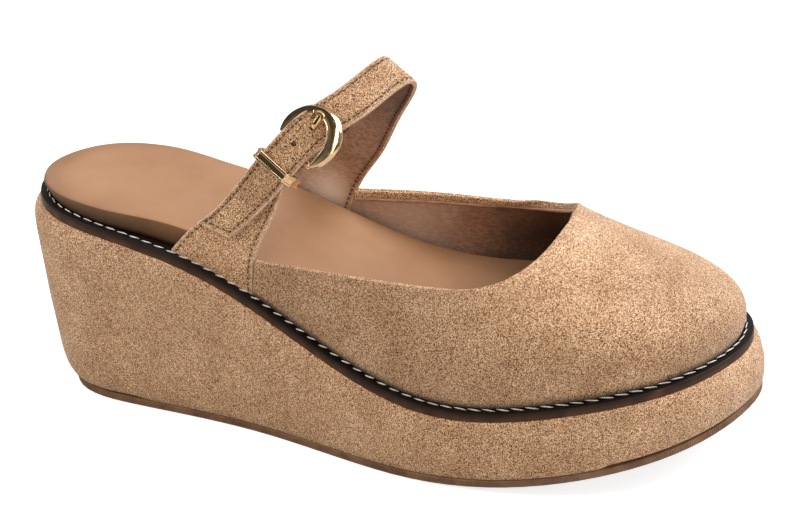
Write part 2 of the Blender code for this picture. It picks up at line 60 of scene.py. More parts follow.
LUG_HEIGHT = 0.9 * MM
LUG_LENGTH = 4.6 * MM
LUG_WIDTH = 2.4 * MM
LUG_STEP_X = 5.5 * MM
LUG_STEP_Y = 7.0 * MM
LUG_MARGIN = 7.0 * MM
LUG_CENTRE = 0.45 * LUG_HEIGHT
TREAD_FACING = -0.9
TREAD_BORDER = 4.0 * MM
SHEET_BEVEL = 0.3 * MM
RIB_PITCH = 0.9 * MM
RIB_WIDTH = 0.5 * MM
RIB_DEPTH = 0.5 * MM
RIB_DROP = 1.2 * MM
RIB_HEIGHT = 1.8 * MM


def linear(code):
    """sRGB hex colour as linear red, green, blue and alpha."""
    parts = [int(code[i:i + 2], 16) / 255 for i in (1, 3, 5)]
    return (*[p / 12.92 if p <= 0.04045 else ((p + 0.055) / 1.055) ** 2.4 for p in parts], 1.0)


def add(tree, kind, values=None, stops=None, **settings):
    """Node, by its name or new, with its settings; values sets inputs, or links them to other sockets."""
    item = tree.nodes[kind] if kind in tree.nodes else tree.nodes.new(kind)
    for key, setting in settings.items():
        setattr(item, key, setting)
    for key, value in (values or {}).items():
        if isinstance(value, bpy.types.NodeSocket):
            tree.links.new(value, item.inputs[key])
        else:
            item.inputs[key].default_value = value
    for index, (place, code) in enumerate(stops or []):
        if index >= len(item.color_ramp.elements):
            item.color_ramp.elements.new(place)
        item.color_ramp.elements[index].position = place
        item.color_ramp.elements[index].color = linear(code)
    return item


def new_finish(name):
    """New material, its tree and its Object coordinates."""
    material = bpy.data.materials.new(name)
    material.use_nodes = True
    tree = material.node_tree
    return material, tree, add(tree, "ShaderNodeTexCoord").outputs["Object"]


def per(size_mm):
    """Texture scale whose pattern repeats about every so many millimetres."""
    return 1 / (size_mm * MM)


def mottle(tree, place, size_mm, stops, **look):
    """Noise in spots of about a size, and the colours that it runs through."""
    noise = {"Vector": place, "Scale": per(size_mm), **look}
    noise = add(tree, "ShaderNodeTexNoise", noise).outputs["Fac"]
    return noise, add(tree, "ShaderNodeValToRGB", {"Fac": noise}, stops=stops).outputs["Color"]


def cad_shape(node):
    """Merged copy of a CAD node, its triangles paired into quads."""
    shape = bmesh.new()
    shape.from_mesh(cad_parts[node].data)
    bmesh.ops.remove_doubles(shape, verts=shape.verts, dist=MERGE_DISTANCE)
    bmesh.ops.join_triangles(
        shape, faces=shape.faces, angle_face_threshold=QUAD_BEND, angle_shape_threshold=QUAD_SKEW
    )
    shape.normal_update()
    return shape


def sharp_edges(shape, degrees):
    """Edges at which a shape's faces turn by more than so many degrees."""
    return [e for e in shape.edges if e.calc_face_angle(0) > math.radians(degrees)]


def settle(piece):
    """Turns a piece's modifiers into plain mesh."""
    ready = piece.evaluated_get(bpy.context.evaluated_depsgraph_get())
    mesh = bpy.data.meshes.new_from_object(ready)
    piece.modifiers.clear()
    piece.data = mesh


def make_piece(name, shape, materials, bevel=0.0, levels=0, crisp=None):
    """Object from a shape, bevelled and subdivided where asked, shaded smooth up to the crisp angle."""
    mesh = bpy.data.meshes.new(name)
    shape.to_mesh(mesh)
    shape.free()
    for material in materials:
        mesh.materials.append(material)
    mesh.shade_smooth()
    piece = bpy.data.objects.new(name, mesh)
    bpy.context.collection.objects.link(piece)
    if bevel:
        edge = piece.modifiers.new("edge", "BEVEL")
        edge.width = bevel
        edge.segments = 2
        edge.angle_limit = BEVEL_ANGLE
    if levels:
        soft = piece.modifiers.new("soft", "SUBSURF")
        soft.levels = levels
        soft.render_levels = levels
    settle(piece)
    if crisp:
        piece.data.set_sharp_from_angle(angle=math.radians(crisp))
    return piece


def mount(piece, slot, *nodes):
    """Fixes a piece to the shoe and hides the CAD nodes that it stands for. The finish slot is not used."""
    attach(piece, "root")
    if nodes:
        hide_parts(*nodes)


def chains(edges):
    """Runs of joined edges, each as an array of points in order."""
    left = set(edges)
    runs = []
    while left:
        ends = {}
        for edge in left:
            for vert in edge.verts:
                ends.setdefault(vert, []).append(edge)
        loose = [vert for vert, joined in ends.items() if len(joined) == 1]
        here = min(loose or ends, key=lambda vert: vert.index)
        run = [here.co.copy()]
        edge = ends[here][0]
        start = here
        while edge is not None:
            left.discard(edge)
            here = edge.other_vert(here)
            if here is start:
                break
            run.append(here.co.copy())
            edge = next((e for e in here.link_edges if e in left), None)
        runs.append(np.array(run))
    return runs


def repeater(name, bead, along_path):
    """Node tree that sets a bead or a block at even steps along a path, or at each point of a cloud."""
    tree = bpy.data.node_groups.new(name, "GeometryNodeTree")
    sockets = [("Geometry", "Geometry"), ("Count", "Int"), ("Length", "Float"), ("Width", "Float")]
    sockets += [("Height", "Float"), ("Slant", "Float"), ("Material", "Material")]
    for label, kind in sockets:
        tree.interface.new_socket(label, in_out="INPUT", socket_type="NodeSocket" + kind)
    tree.interface.new_socket("Result", in_out="OUTPUT", socket_type="NodeSocketGeometry")
    given = add(tree, "NodeGroupInput").outputs
    points = given["Geometry"]
    vector = "GeometryNodeInputNamedAttribute"
    off = add(tree, vector, {"Name": "off"}, data_type="FLOAT_VECTOR").outputs[0]
    if along_path:
        path = add(tree, "GeometryNodeMeshToCurve", {"Mesh": points})
        even = {"Curve": path.outputs[0], "Count": given["Count"]}
        points = add(tree, "GeometryNodeResampleCurve", even, mode="COUNT").outputs[0]
        along = add(tree, "GeometryNodeInputTangent").outputs[0]
    else:
        along = add(tree, vector, {"Name": "along"}, data_type="FLOAT_VECTOR").outputs[0]
    upright = add(tree, "FunctionNodeAlignRotationToVector", {"Vector": off}, axis="Z").outputs[0]
    facing = {"Rotation": upright, "Vector": along}
    facing = add(tree, "FunctionNodeAlignRotationToVector", facing, axis="X", pivot_axis="Z").outputs[0]
    slant = add(tree, "ShaderNodeCombineXYZ", {"Z": given["Slant"]}).outputs[0]
    slant = add(tree, "FunctionNodeEulerToRotation", {"Euler": slant}).outputs[0]
    turned = {"Rotation": facing, "Rotate By": slant}
    turned = add(tree, "FunctionNodeRotateRotation", turned, rotation_space="LOCAL").outputs[0]
    size = {"X": given["Length"], "Y": given["Width"], "Z": given["Height"]}
    size = add(tree, "ShaderNodeCombineXYZ", size).outputs[0]
    if bead:
        ball = {"Segments": 6, "Rings": 5, "Radius": 0.5}
        shape = add(tree, "GeometryNodeMeshUVSphere", ball).outputs["Mesh"]
        shape = add(tree, "GeometryNodeSetShadeSmooth", {"Geometry": shape}).outputs[0]
    else:
        shape = add(tree, "GeometryNodeMeshCube", {"Size": (1, 1, 1)}).outputs["Mesh"]
    copies = {"Points": points, "Instance": shape, "Rotation": turned, "Scale": size}
    copies = add(tree, "GeometryNodeInstanceOnPoints", copies).outputs[0]
    plain = add(tree, "GeometryNodeRealizeInstances", {"Geometry": copies}).outputs[0]
    coated = {"Geometry": plain, "Material": given["Material"]}
    coated = add(tree, "GeometryNodeSetMaterial", coated).outputs[0]
    add(tree, "NodeGroupOutput", {"Result": coated})
    return tree


def repeat(name, tree, points, off, material, closed=False, along=None, **sizes):
    """Plain mesh piece of what a tree sets along a path, or at a cloud of points where along is given."""
    count = len(points)
    edges = []
    if along is None:
        edges = [(i, (i + 1) % count) for i in range(count if closed else count - 1)]
    mesh = bpy.data.meshes.new(name)
    mesh.from_pydata([tuple(p) for p in points], edges, [])
    for label, vectors in (("off", off), ("along", along)):
        if vectors is not None:
            layer = mesh.attributes.new(label, "FLOAT_VECTOR", "POINT")
            vectors = np.broadcast_to(vectors, (count, 3)).astype(np.float32)
            layer.data.foreach_set("vector", vectors.ravel())
    piece = bpy.data.objects.new(name, mesh)
    bpy.context.collection.objects.link(piece)
    modifier = piece.modifiers.new(name, "NODES")
    modifier.node_group = tree
    for label, size in {**sizes, "Material": material}.items():
        modifier[tree.interface.items_tree[label].identifier] = size
    settle(piece)
    return piece


def path_length(points, closed=False):
    """Length of a run of points."""
    steps = np.diff(np.concatenate([points, points[:1]]) if closed else points, axis=0)
    return float(np.linalg.norm(steps, axis=1).sum())


def tread_rubber():
    """Moulded crepe-brown rubber: dull, with a faint dusty mottle and a fine pebble from the mould."""
    material, tree, place = new_finish("moulded_brown_rubber")
    _, tone = mottle(tree, place, 6, [(0.35, "#785a43"), (0.65, "#957358")], Detail=4.0)
    pebble = add(tree, "ShaderNodeTexNoise", {"Vector": place, "Scale": per(0.4), "Detail": 2.0})
    bump = {"Height": pebble.outputs["Fac"], "Strength": 0.35, "Distance": 0.1 * MM}
    bump = add(tree, "ShaderNodeBump", bump).outputs["Normal"]
    add(tree, "Principled BSDF", {"Base Color": tone, "Roughness": 0.72, "Normal": bump})
    return material


TREAD_RUBBER = tread_rubber()
sheet_shape = cad_shape("outsole")
sheet_rims = chains(sharp_edges(sheet_shape, RIM_ANGLE))
rim_path = max(sheet_rims, key=lambda run: run[:, 2].mean())
tread_faces = [f for f in sheet_shape.faces if f.normal.z < TREAD_FACING]
bmesh.ops.inset_region(sheet_shape, faces=tread_faces, thickness=TREAD_BORDER, use_even_offset=True)
for vert in {v for f in tread_faces for v in f.verts}:
    vert.co.z += LUG_HEIGHT
tread_tree = BVHTree.FromBMesh(sheet_shape)
outsole = make_piece("outsole_sheet", sheet_shape, [TREAD_RUBBER], bevel=SHEET_BEVEL)
mount(outsole, "tread", "outsole")

BLOCKS_ON_PATH = repeater("blocks_on_path", bead=False, along_path=True)
BLOCKS_ON_POINTS = repeater("blocks_on_points", bead=False, along_path=False)
up = np.array([0.0, 0.0, 1.0])
ribs = repeat(
    "outsole_ribs", BLOCKS_ON_PATH, rim_path - up * RIB_DROP, up, TREAD_RUBBER, closed=True,
    Count=round(path_length(rim_path, True) / RIB_PITCH),
    Length=RIB_WIDTH, Width=RIB_DEPTH, Height=RIB_HEIGHT,
)
mount(ribs, "tread")

low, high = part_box("outsole")
lug_points = []
lug_normals = []
for row, x in enumerate(np.arange(low.x + LUG_MARGIN, high.x, LUG_STEP_X)):
    for y in np.arange(low.y + LUG_STEP_Y * (0.5 + 0.5 * (row % 2)), high.y, LUG_STEP_Y):
        if np.linalg.norm(rim_path[:, :2] - (x, y), axis=1).min() < LUG_MARGIN:
            continue
        spot, normal, _, _ = tread_tree.ray_cast(Vector((x, y, -1.0)), Vector((0, 0, 1)))
        if spot is not None:
            lug_points.append(spot + normal * LUG_CENTRE)
            lug_normals.append(normal)
lugs = repeat(
    "outsole_lugs", BLOCKS_ON_POINTS, lug_points, np.array(lug_normals), TREAD_RUBBER,
    along=np.array([0.0, 1.0, 0.0]), Length=LUG_LENGTH, Width=LUG_WIDTH, Height=LUG_HEIGHT,
)
mount(lugs, "tread")


# Wedge
# A light foam platform wrapped in one piece of tan suede, pulled tight and tucked in under the welt and
# over the outsole. Its nap is brushed, and lighter patches at the heel, the near side and the toe are painted
# light.
CREASE_ANGLE = 50
TOP_FACING = 0.7
WEDGE_STEP = 7 * MM
WEDGE_CUTS = 3
# Patches of painted light: x, y, z and reach in mm, then how much lighter
WEDGE_PAINTED_LIGHT = [(-118, -15, 40, 45, 0.07), (-70, -36, 25, 30, 0.03), (120, -10, 25, 30, 0.05)]
# How far the suede's lip laps up over the welt: x in mm, then height in mm
LIP_HEIGHTS = [(-126, 1.2), (-60, 2.1), (126, 1.9)]
LIP_REACH = 9 * MM
# Colour sockets of a Mix node
MIX_FACTOR, MIX_A, MIX_B, MIX_RESULT = 0, 6, 7, 2


def keep_edges(shape):
    """Creases a shape's sharp edges, so that subdivision leaves them where they are."""
    layer = shape.edges.layers.float.new("crease_edge")
    for edge in sharp_edges(shape, CREASE_ANGLE):
        edge[layer] = 1.0


def suede(name, grain):
    """Brushed suede: a short tan nap whose grains show light and dark, cloudy where the nap was brushed, and
    darkened or paled by painted light and shade.

    The grains are drawn coarser than real nap, so that they still show at the picture's size.
    """
    material, tree, place = new_finish(name)
    grains = add(tree, "ShaderNodeTexVoronoi", {"Vector": place, "Scale": per(grain)}).outputs["Color"]
    nap = {"Vector": place, "Scale": per(1.5 * grain), "Detail": 2.0, "Roughness": 0.6}
    nap = add(tree, "ShaderNodeTexNoise", nap).outputs["Fac"]
    mixed = {MIX_FACTOR: 0.28, MIX_A: grains, MIX_B: nap}
    mixed = add(tree, "ShaderNodeMix", mixed, data_type="RGBA").outputs[MIX_RESULT]
    tone = [(0.29, "#4b270b"), (0.45, "#ae784a"), (0.55, "#dfb083"), (0.71, "#ffe1bc")]
    tone = add(tree, "ShaderNodeValToRGB", {"Fac": mixed}, stops=tone).outputs["Color"]
    _, cloud = mottle(tree, place, 13, [(0.34, "#e8e1da"), (0.66, "#fcfbfa")])
    tone = {MIX_FACTOR: 1.0, MIX_A: tone, MIX_B: cloud}
    tone = add(tree, "ShaderNodeMix", tone, data_type="RGBA", blend_type="MULTIPLY").outputs[MIX_RESULT]
    fluff = {"Height": nap, "Strength": 0.5, "Distance": 0.2 * MM}
    fluff = add(tree, "ShaderNodeBump", fluff).outputs["Normal"]
    shader = {
        "Base Color": painted_light_and_shade(tree, tone), "Roughness": 0.95, "Specular IOR Level": 0.2,
        "Sheen Weight": 0.15, "Sheen Roughness": 0.6, "Normal": fluff,
    }
    add(tree, "Principled BSDF", shader)
    return material


def painted_light_and_shade(tree, colour):
    """Colour darkened as painted shade, or paled towards a whitish tone as painted highlight, by the piece's
    lay attribute from -1 to 1.
    """
    lay = add(tree, "ShaderNodeAttribute", attribute_name="lay").outputs["Fac"]
    shade = {"Value": lay, "From Min": -1.0, "From Max": 0.0, "To Min": 0.1, "To Max": 1.0}
    shade = add(tree, "ShaderNodeMapRange", shade).outputs["Result"]
    dark = {MIX_FACTOR: 1.0, MIX_A: colour, MIX_B: shade}
    dark = add(tree, "ShaderNodeMix", dark, data_type="RGBA", blend_type="MULTIPLY").outputs[MIX_RESULT]
    pale = {"Value": lay, "From Min": 0.0, "From Max": 1.0, "To Min": 0.0, "To Max": 0.7}
    pale = add(tree, "ShaderNodeMapRange", pale).outputs["Result"]
    both = {MIX_FACTOR: pale, MIX_A: dark, MIX_B: linear("#f0d6c0")}
    return add(tree, "ShaderNodeMix", both, data_type="RGBA").outputs[MIX_RESULT]


def paint_light_and_shade(piece, patches, finish=None):
    """Paints light and shade onto a piece as its lay attribute: each patch is x, y, z and reach in mm, then
    how much lighter it is, -1 to 1.

    A finish, counted in the piece's own materials, keeps the patches off its other faces.
    """
    count = len(piece.data.vertices)
    points = np.empty(count * 3)
    piece.data.vertices.foreach_get("co", points)
    points = points.reshape(-1, 3)
    layer = piece.data.attributes.get("lay") or piece.data.attributes.new("lay", "FLOAT", "POINT")
    lay = np.empty(count)
    layer.data.foreach_get("value", lay)
    faces = [p for p in piece.data.polygons if finish in (None, p.material_index)]
    covered = np.zeros(count)
    covered[[v for p in faces for v in p.vertices]] = 1
    for x, y, z, reach, lighter in patches:
        away = np.linalg.norm(points - np.array([x, y, z]) * MM, axis=1) / (reach * MM)
        lay += covered * lighter * np.exp(-away ** 2)
    layer.data.foreach_set("value", np.clip(lay, -1, 1))


SUEDE = suede("brushed_tan_suede", 0.21)
wedge_shape = cad_shape("wedge")
keep_edges(wedge_shape)
top_faces = {f for f in wedge_shape.faces if f.normal.z > TOP_FACING}
lip_edges = [e for e in wedge_shape.edges if sum(f in top_faces for f in e.link_faces) == 1]
lip = max(chains(lip_edges), key=len)
for vert in wedge_shape.verts:
    below = lip[np.linalg.norm(lip[:, :2] - vert.co[:2], axis=1).argmin(), 2] - vert.co.z
    height = np.interp(vert.co.x / MM, *np.array(LIP_HEIGHTS).T) * MM
    vert.co.z += height * np.interp(below, (0, LIP_REACH), (1, 0))
uprights = [e for e in wedge_shape.edges if abs(e.verts[0].co.z - e.verts[1].co.z) > WEDGE_STEP]
bmesh.ops.subdivide_edges(wedge_shape, edges=uprights, cuts=WEDGE_CUTS, use_grid_fill=True)
wedge = make_piece("wedge_cover", wedge_shape, [SUEDE], levels=2)
# Painted light: lighter patches at the heel, the near side and the toe
paint_light_and_shade(wedge, WEDGE_PAINTED_LIGHT)
mount(wedge, "suede", "wedge")


# Welt
# A strip of dark brown rubber that runs all round between wedge and upper. Its outer edge is left square
# and its ledge is sewn through with pale waxed thread, a row of slanted stitches close to the upper.
WELT_BEVEL = 0.55 * MM
# Painted shade along the welt's top edge: how far it reaches and how much lighter it is
LEDGE_SHADE_REACH = 1.8 * MM
LEDGE_SHADE = -0.5
STITCH_INSET = 2.5 * MM
STITCH_PITCH = 4.7 * MM
STITCH_LENGTH = 4.8 * MM
STITCH_WIDTH = 0.42 * MM
STITCH_HEIGHT = 0.5 * MM
STITCH_LIFT = 0.15 * MM
STITCH_SLANT = math.radians(-7)


def welt_rubber(name, dark, light):
    """Dark rubber strip: satin, with a faint drag mark along it from the knife that trimmed it."""
    material, tree, place = new_finish(name)
    _, tone = mottle(tree, place, 5, [(0.35, dark), (0.7, light)], Detail=4.0)
    drag = add(tree, "ShaderNodeMapping", {"Vector": place, "Scale": (0.12, 0.12, 1.0)}).outputs[0]
    drag = add(tree, "ShaderNodeTexNoise", {"Vector": drag, "Scale": per(0.5), "Detail": 2.0}).outputs["Fac"]
    bump = {"Height": drag, "Strength": 0.25, "Distance": 0.1 * MM}
    bump = add(tree, "ShaderNodeBump", bump).outputs["Normal"]
    shader = {
        "Base Color": painted_light_and_shade(tree, tone), "Roughness": 0.5, "Specular IOR Level": 0.2, "Normal": bump,
    }
    add(tree, "Principled BSDF", shader)
    return material


def waxed_thread(name, dark, light):
    """Waxed sewing thread: matt, with the light and dark of its twisted plies."""
    material, tree, place = new_finish(name)
    plies, tone = mottle(tree, place, 0.6, [(0.35, dark), (0.6, light)])
    bump = {"Height": plies, "Strength": 0.5, "Distance": 0.1 * MM}
    bump = add(tree, "ShaderNodeBump", bump).outputs["Normal"]
    shader = {"Base Color": tone, "Roughness": 0.7, "Specular IOR Level": 0.1, "Normal": bump}
    add(tree, "Principled BSDF", shader)
    return material


def unit(vectors):
    """Rows of vectors scaled to length one."""
    return vectors / np.linalg.norm(vectors, axis=1)[:, None]


def step_in(path, distance):
    """Closed path moved sideways in plan, to its inner side."""
    along = np.roll(path, -1, axis=0) - np.roll(path, 1, axis=0)
    side = unit(np.column_stack([-along[:, 1], along[:, 0], np.zeros(len(path))]))
    inner = path + side * distance
    return inner if np.ptp(inner[:, 1]) < np.ptp(path[:, 1]) else path - side * distance


def cubic(knots, values, at):
    """Natural cubic spline through rows of values at knots, read at other places."""
    at = np.clip(np.asarray(at, float), knots[0], knots[-1])
    step = np.diff(knots)
    slope = np.diff(values, axis=0) / step[:, None]
    matrix = np.eye(len(knots))
    right = np.zeros_like(values)
    for i in range(1, len(knots) - 1):
        matrix[i, i - 1:i + 2] = step[i - 1], 2 * (step[i - 1] + step[i]), step[i]
        right[i] = 6 * (slope[i] - slope[i - 1])
    bend = np.linalg.solve(matrix, right)
    i = np.clip(np.searchsorted(knots, at) - 1, 0, len(step) - 1)
    b = ((at - knots[i]) / step[i])[:, None]
    a = 1 - b
    curve = ((a ** 3 - a) * bend[i] + (b ** 3 - b) * bend[i + 1]) * step[i][:, None] ** 2 / 6
    return a * values[i] + b * values[i + 1] + curve


def resample(path, step):
    """Smooth open path through points, read at even steps."""
    along = np.concatenate([[0.0], np.cumsum(np.linalg.norm(np.diff(path, axis=0), axis=1))])
    return cubic(along, path, np.linspace(0, along[-1], int(along[-1] / step) + 1))


def shade_along(path, reach, lighter):
    """Patches for paint_light_and_shade, as wide as they are far apart, in a row along a path."""
    return [(*point, reach / MM, lighter) for point in resample(path, reach) / MM]


WELT_RUBBER = welt_rubber("trimmed_dark_rubber", "#442a1a", "#623f27")
# The ledge is drawn near-black, darker than the rubber's own brown, as painted shade under the upper
SHADED_LEDGE_RUBBER = welt_rubber("black_ledge_painted_shade", "#0f0906", "#1d120c")
PALE_THREAD = waxed_thread("waxed_pale_thread", "#d3cabf", "#f3eee7")
BEADS_ON_PATH = repeater("beads_on_path", bead=True, along_path=True)
welt_shape = cad_shape("welt")
welt_rims = chains(sharp_edges(welt_shape, RIM_ANGLE))
welt_top = max(welt_rims, key=lambda run: (np.ptp(run[:, 1]), run[:, 2].mean()))
for face in welt_shape.faces:
    face.material_index = int(face.normal.z > TOP_FACING)
welt = make_piece("welt_strip", welt_shape, [WELT_RUBBER, SHADED_LEDGE_RUBBER], bevel=WELT_BEVEL, levels=1)
# Painted shade darkens the welt along its top edge
paint_light_and_shade(welt, shade_along(welt_top, LEDGE_SHADE_REACH, LEDGE_SHADE))
mount(welt, "welt", "welt")
stitch_path = step_in(welt_top, STITCH_INSET) + up * STITCH_LIFT
welt_stitches = repeat(
    "welt_stitches", BEADS_ON_PATH, stitch_path, up, PALE_THREAD, closed=True,
    Count=round(path_length(stitch_path, True) / STITCH_PITCH),
    Length=STITCH_LENGTH, Width=STITCH_WIDTH, Height=STITCH_HEIGHT, Slant=STITCH_SLANT,
)
mount(welt_stitches, "welt")


# Footbed
# A padded insole board covered in smooth tan leather that wraps over its rim. It is slightly dished for
# the foot. Its side wall is a darker brown as painted shade, darkest at its foot by the welt, and painted
# shade darkens the bed under the vamp.
DISH_DEPTH = 1.2 * MM
DISH_REACH = 26 * MM
DISH_CURVE = 1.5
ACROSS = 0.99
CAP_EDGE = 4 * MM
CAP_FACING = 0.5
CAP_CUTS = 9
RIM_LAP = 0.9 * MM
RIM_FACING = 0.75
RIM_CREASE = 0.9
# Painted shade on the bed: x, y, z and reach in mm, then how much lighter; deepest under the vamp
BED_PAINTED_SHADE = [(-105, 0, 72, 40, -0.03), (5, -25, 44, 26, -0.08), (62, 10, 42, 34, -0.55)]
# Painted shade at the foot of the side wall: inset from the welt's edge, reach, and how much lighter
WALL_INSET = 3.6 * MM
WALL_REACH = 4.2 * MM
WALL_SHADE = -0.45


def footbed_leather(name, dark, middle, light, roughness):
    """Smooth lining leather: a low satin gloss, soft tonal clouds and a very fine pore grain."""
    material, tree, place = new_finish(name)
    tone = [(0.3, dark), (0.5, middle), (0.72, light)]
    _, tone = mottle(tree, place, 30, tone, Detail=5.0, Roughness=0.6)
    pores = add(tree, "ShaderNodeTexVoronoi", {"Vector": place, "Scale": per(0.55)}).outputs["Distance"]
    bump = {"Height": pores, "Strength": 0.12, "Distance": 0.08 * MM}
    bump = add(tree, "ShaderNodeBump", bump).outputs["Normal"]
    shader = {"Base Color": painted_light_and_shade(tree, tone), "Roughness": roughness, "Normal": bump}
    add(tree, "Principled BSDF", shader)
    return material


INSOLE_LEATHER = footbed_leather("smooth_tan_leather", "#9b6f4b", "#a57955", "#ad815e", 0.5)
# The wall's darker brown is painted shade
SHADED_WALL_LEATHER = footbed_leather("wall_leather_painted_shade", "#6a4827", "#795431", "#86603b", 0.6)
bed_shape = cad_shape("footbed")
keep_edges(bed_shape)
rim_verts = set()
for edge in bed_shape.edges:
    span = edge.verts[0].co - edge.verts[1].co
    if edge.verts[0].normal.z > 0 and abs(span.normalized().y) > ACROSS and span.length > CAP_EDGE:
        rim_verts.update(edge.verts)
cap = [f for f in bed_shape.faces if f.normal.z > CAP_FACING and sum(v in rim_verts for v in f.verts) > 2]
bmesh.ops.inset_region(bed_shape, faces=cap, thickness=RIM_LAP, use_even_offset=True)
across_foot = [e for e in bed_shape.edges if all(f in cap for f in e.link_faces)]
bmesh.ops.subdivide_edges(bed_shape, edges=across_foot, cuts=CAP_CUTS, use_grid_fill=True)
bed_shape.normal_update()
for face in bed_shape.faces:
    face.material_index = 0 if face.normal.z > RIM_FACING else 1
crease = bed_shape.edges.layers.float["crease_edge"]
for edge in bed_shape.edges:
    if sum(f.material_index for f in edge.link_faces) == 1:
        edge[crease] = RIM_CREASE
bed_edge = np.array([v.co for v in bed_shape.verts if any(f.material_index for f in v.link_faces)])
for vert in bed_shape.verts:
    if vert.normal.z > TOP_FACING:
        inland = np.linalg.norm(bed_edge[:, :2] - vert.co[:2], axis=1).min()
        vert.co.z -= DISH_DEPTH * min(1.0, inland / DISH_REACH) ** DISH_CURVE
footbed = make_piece("footbed_cover", bed_shape, [INSOLE_LEATHER, SHADED_WALL_LEATHER], levels=2)
# Painted shade under the vamp, at heel and waist, and along the foot of the wall
paint_light_and_shade(footbed, BED_PAINTED_SHADE + shade_along(step_in(welt_top, WALL_INSET), WALL_REACH, WALL_SHADE))
mount(footbed, "insole", "footbed")


# Upper
# Vamp and quarters cut from one piece of suede, lasted over the toe and sewn down inside the welt. It is
# lined with brushed microfibre. On the medial side the suede is turned in over the top edge, and the
# lining is rolled over a cord just below it.
LINING_AXIS = (0.062, 0.0, 0.050)
LINING_FACING = 0.25
BAR_BEVEL = 0.07 * MM
BAR_CRISP = 30
ROLL_RADIUS = 0.6 * MM
ROLL_DROP = 2.6 * MM
# Profile of the turned-in suede: down from its path and off the wall, in mm
TURN_IN = np.array([(-2.4, -0.6), (-2.4, 0.1), (-2.0, 0.4), (-0.2, 0.45), (0.2, 0.2), (0.2, -0.6)]) * MM
# Painted shade along the upper's foot where it meets the welt
FOOT_INSET = 3.4 * MM
FOOT_REACH = 1.6 * MM
FOOT_SHADE = -0.45
TOP_POINTS = 40
TOP_STEP = 11 * MM
TOP_PROBE = 4 * MM
TURN_IN_END = 4 * MM
TOP_SPLITS = 8
REAR_FACING = -0.7
REAR_WALL = 1.2 * MM
REAR_THIN = 0.7
REAR_LAP = 2.2 * MM
# Painted light and shade on the suede: x, y, z and reach in mm, then how much lighter; darker at the near
# rear, low down and at the toe, with a painted highlight on the vamp's crest
UPPER_PAINTED_LIGHT = [
    (-20, -36, 55, 24, -0.28), (30, -42, 45, 34, -0.26), (112, -12, 52, 10, -0.08), (116, 0, 50, 26, -0.16),
    (70, 2, 74, 12, 0.18), (80, -38, 38, 20, -0.06), (95, -12, 60, 20, -0.09),
]
# Painted light and shade on the lining: lighter at the heel, darker towards the throat where the vamp shades
# it
QUARTER_PAINTED_LIGHT = [
    (-2, 32, 56, 22, 0.5), (32, 38, 46, 15, -0.45), (50, 38, 51, 18, -0.6), (72, 20, 60, 24, -0.8),
]


def lining(name, dark, middle, light):
    """Brushed microfibre lining: pinkish brown, its short nap mottled along the way it was brushed."""
    material, tree, place = new_finish(name)
    lay = {"Vector": place, "Rotation": (0.0, 0.9, 0.3), "Scale": (0.45, 1.0, 1.0)}
    lay = add(tree, "ShaderNodeMapping", lay).outputs[0]
    tone = [(0.3, dark), (0.5, middle), (0.7, light)]
    streak, tone = mottle(tree, lay, 0.8, tone, Detail=3.0, Roughness=0.6)
    _, stroke = mottle(tree, place, 17, [(0.35, "#d9c8bb"), (0.65, "#ffffff")], Detail=3.0)
    brushed = {MIX_FACTOR: 1.0, MIX_A: tone, MIX_B: stroke}
    brushed = add(tree, "ShaderNodeMix", brushed, data_type="RGBA", blend_type="MULTIPLY").outputs[MIX_RESULT]
    bump = {"Height": streak, "Strength": 0.35, "Distance": 0.15 * MM}
    bump = add(tree, "ShaderNodeBump", bump).outputs["Normal"]
    shader = {
        "Base Color": painted_light_and_shade(tree, brushed), "Roughness": 0.7, "Sheen Weight": 0.2,
        "Sheen Roughness": 0.4, "Sheen Tint": linear("#e8cbb8"), "Normal": bump,
    }
    add(tree, "Principled BSDF", shader)
    return material


def skin(rings, closed=False):
    """Shape laid over rings of points, its ends capped where it does not close."""
    shape = bmesh.new()
    verts = [[shape.verts.new(p) for p in ring] for ring in rings]
    count = len(verts[0])
    for first, second in zip(verts, verts[1:] + (verts[:1] if closed else [])):
        for k in range(count):
            shape.faces.new((first[k], first[(k + 1) % count], second[(k + 1) % count], second[k]))
    if not closed:
        shape.faces.new(verts[0])
        shape.faces.new(verts[-1])
    bmesh.ops.recalc_face_normals(shape, faces=shape.faces)
    return shape


def tube(name, path, radius, material, sides=8):
    """Round cord along an open path, with closed ends."""
    along = unit(np.gradient(path, axis=0))
    side = unit(np.cross(along, up))
    over = np.cross(side, along)
    turn = (np.arange(sides) * 2 * math.pi / sides)[:, None]
    rings = path[:, None] + radius * (side[:, None] * np.cos(turn) + over[:, None] * np.sin(turn))
    return make_piece(name, skin(rings), [material])


def bar_along(name, path, side, profiles, material, closed=False):
    """Bar along a path; each profile point is a distance along side and a distance off the bar's back.

    One side or one profile serves the whole path, or each of its points has its own.
    """
    along = np.roll(path, -1, axis=0) - np.roll(path, 1, axis=0) if closed else np.gradient(path, axis=0)
    lift = unit(np.cross(along, side))
    side = np.broadcast_to(side, path.shape)
    profiles = np.broadcast_to(profiles, (len(path), *np.shape(profiles)[-2:]))
    rings = path[:, None] + side[:, None] * profiles[:, :, :1] + lift[:, None] * profiles[:, :, 1:]
    return make_piece(name, skin(rings, closed), [material], bevel=BAR_BEVEL, crisp=BAR_CRISP)


LINING = lining("brushed_microfibre_lining", "#8f6952", "#a88066", "#c19b81")
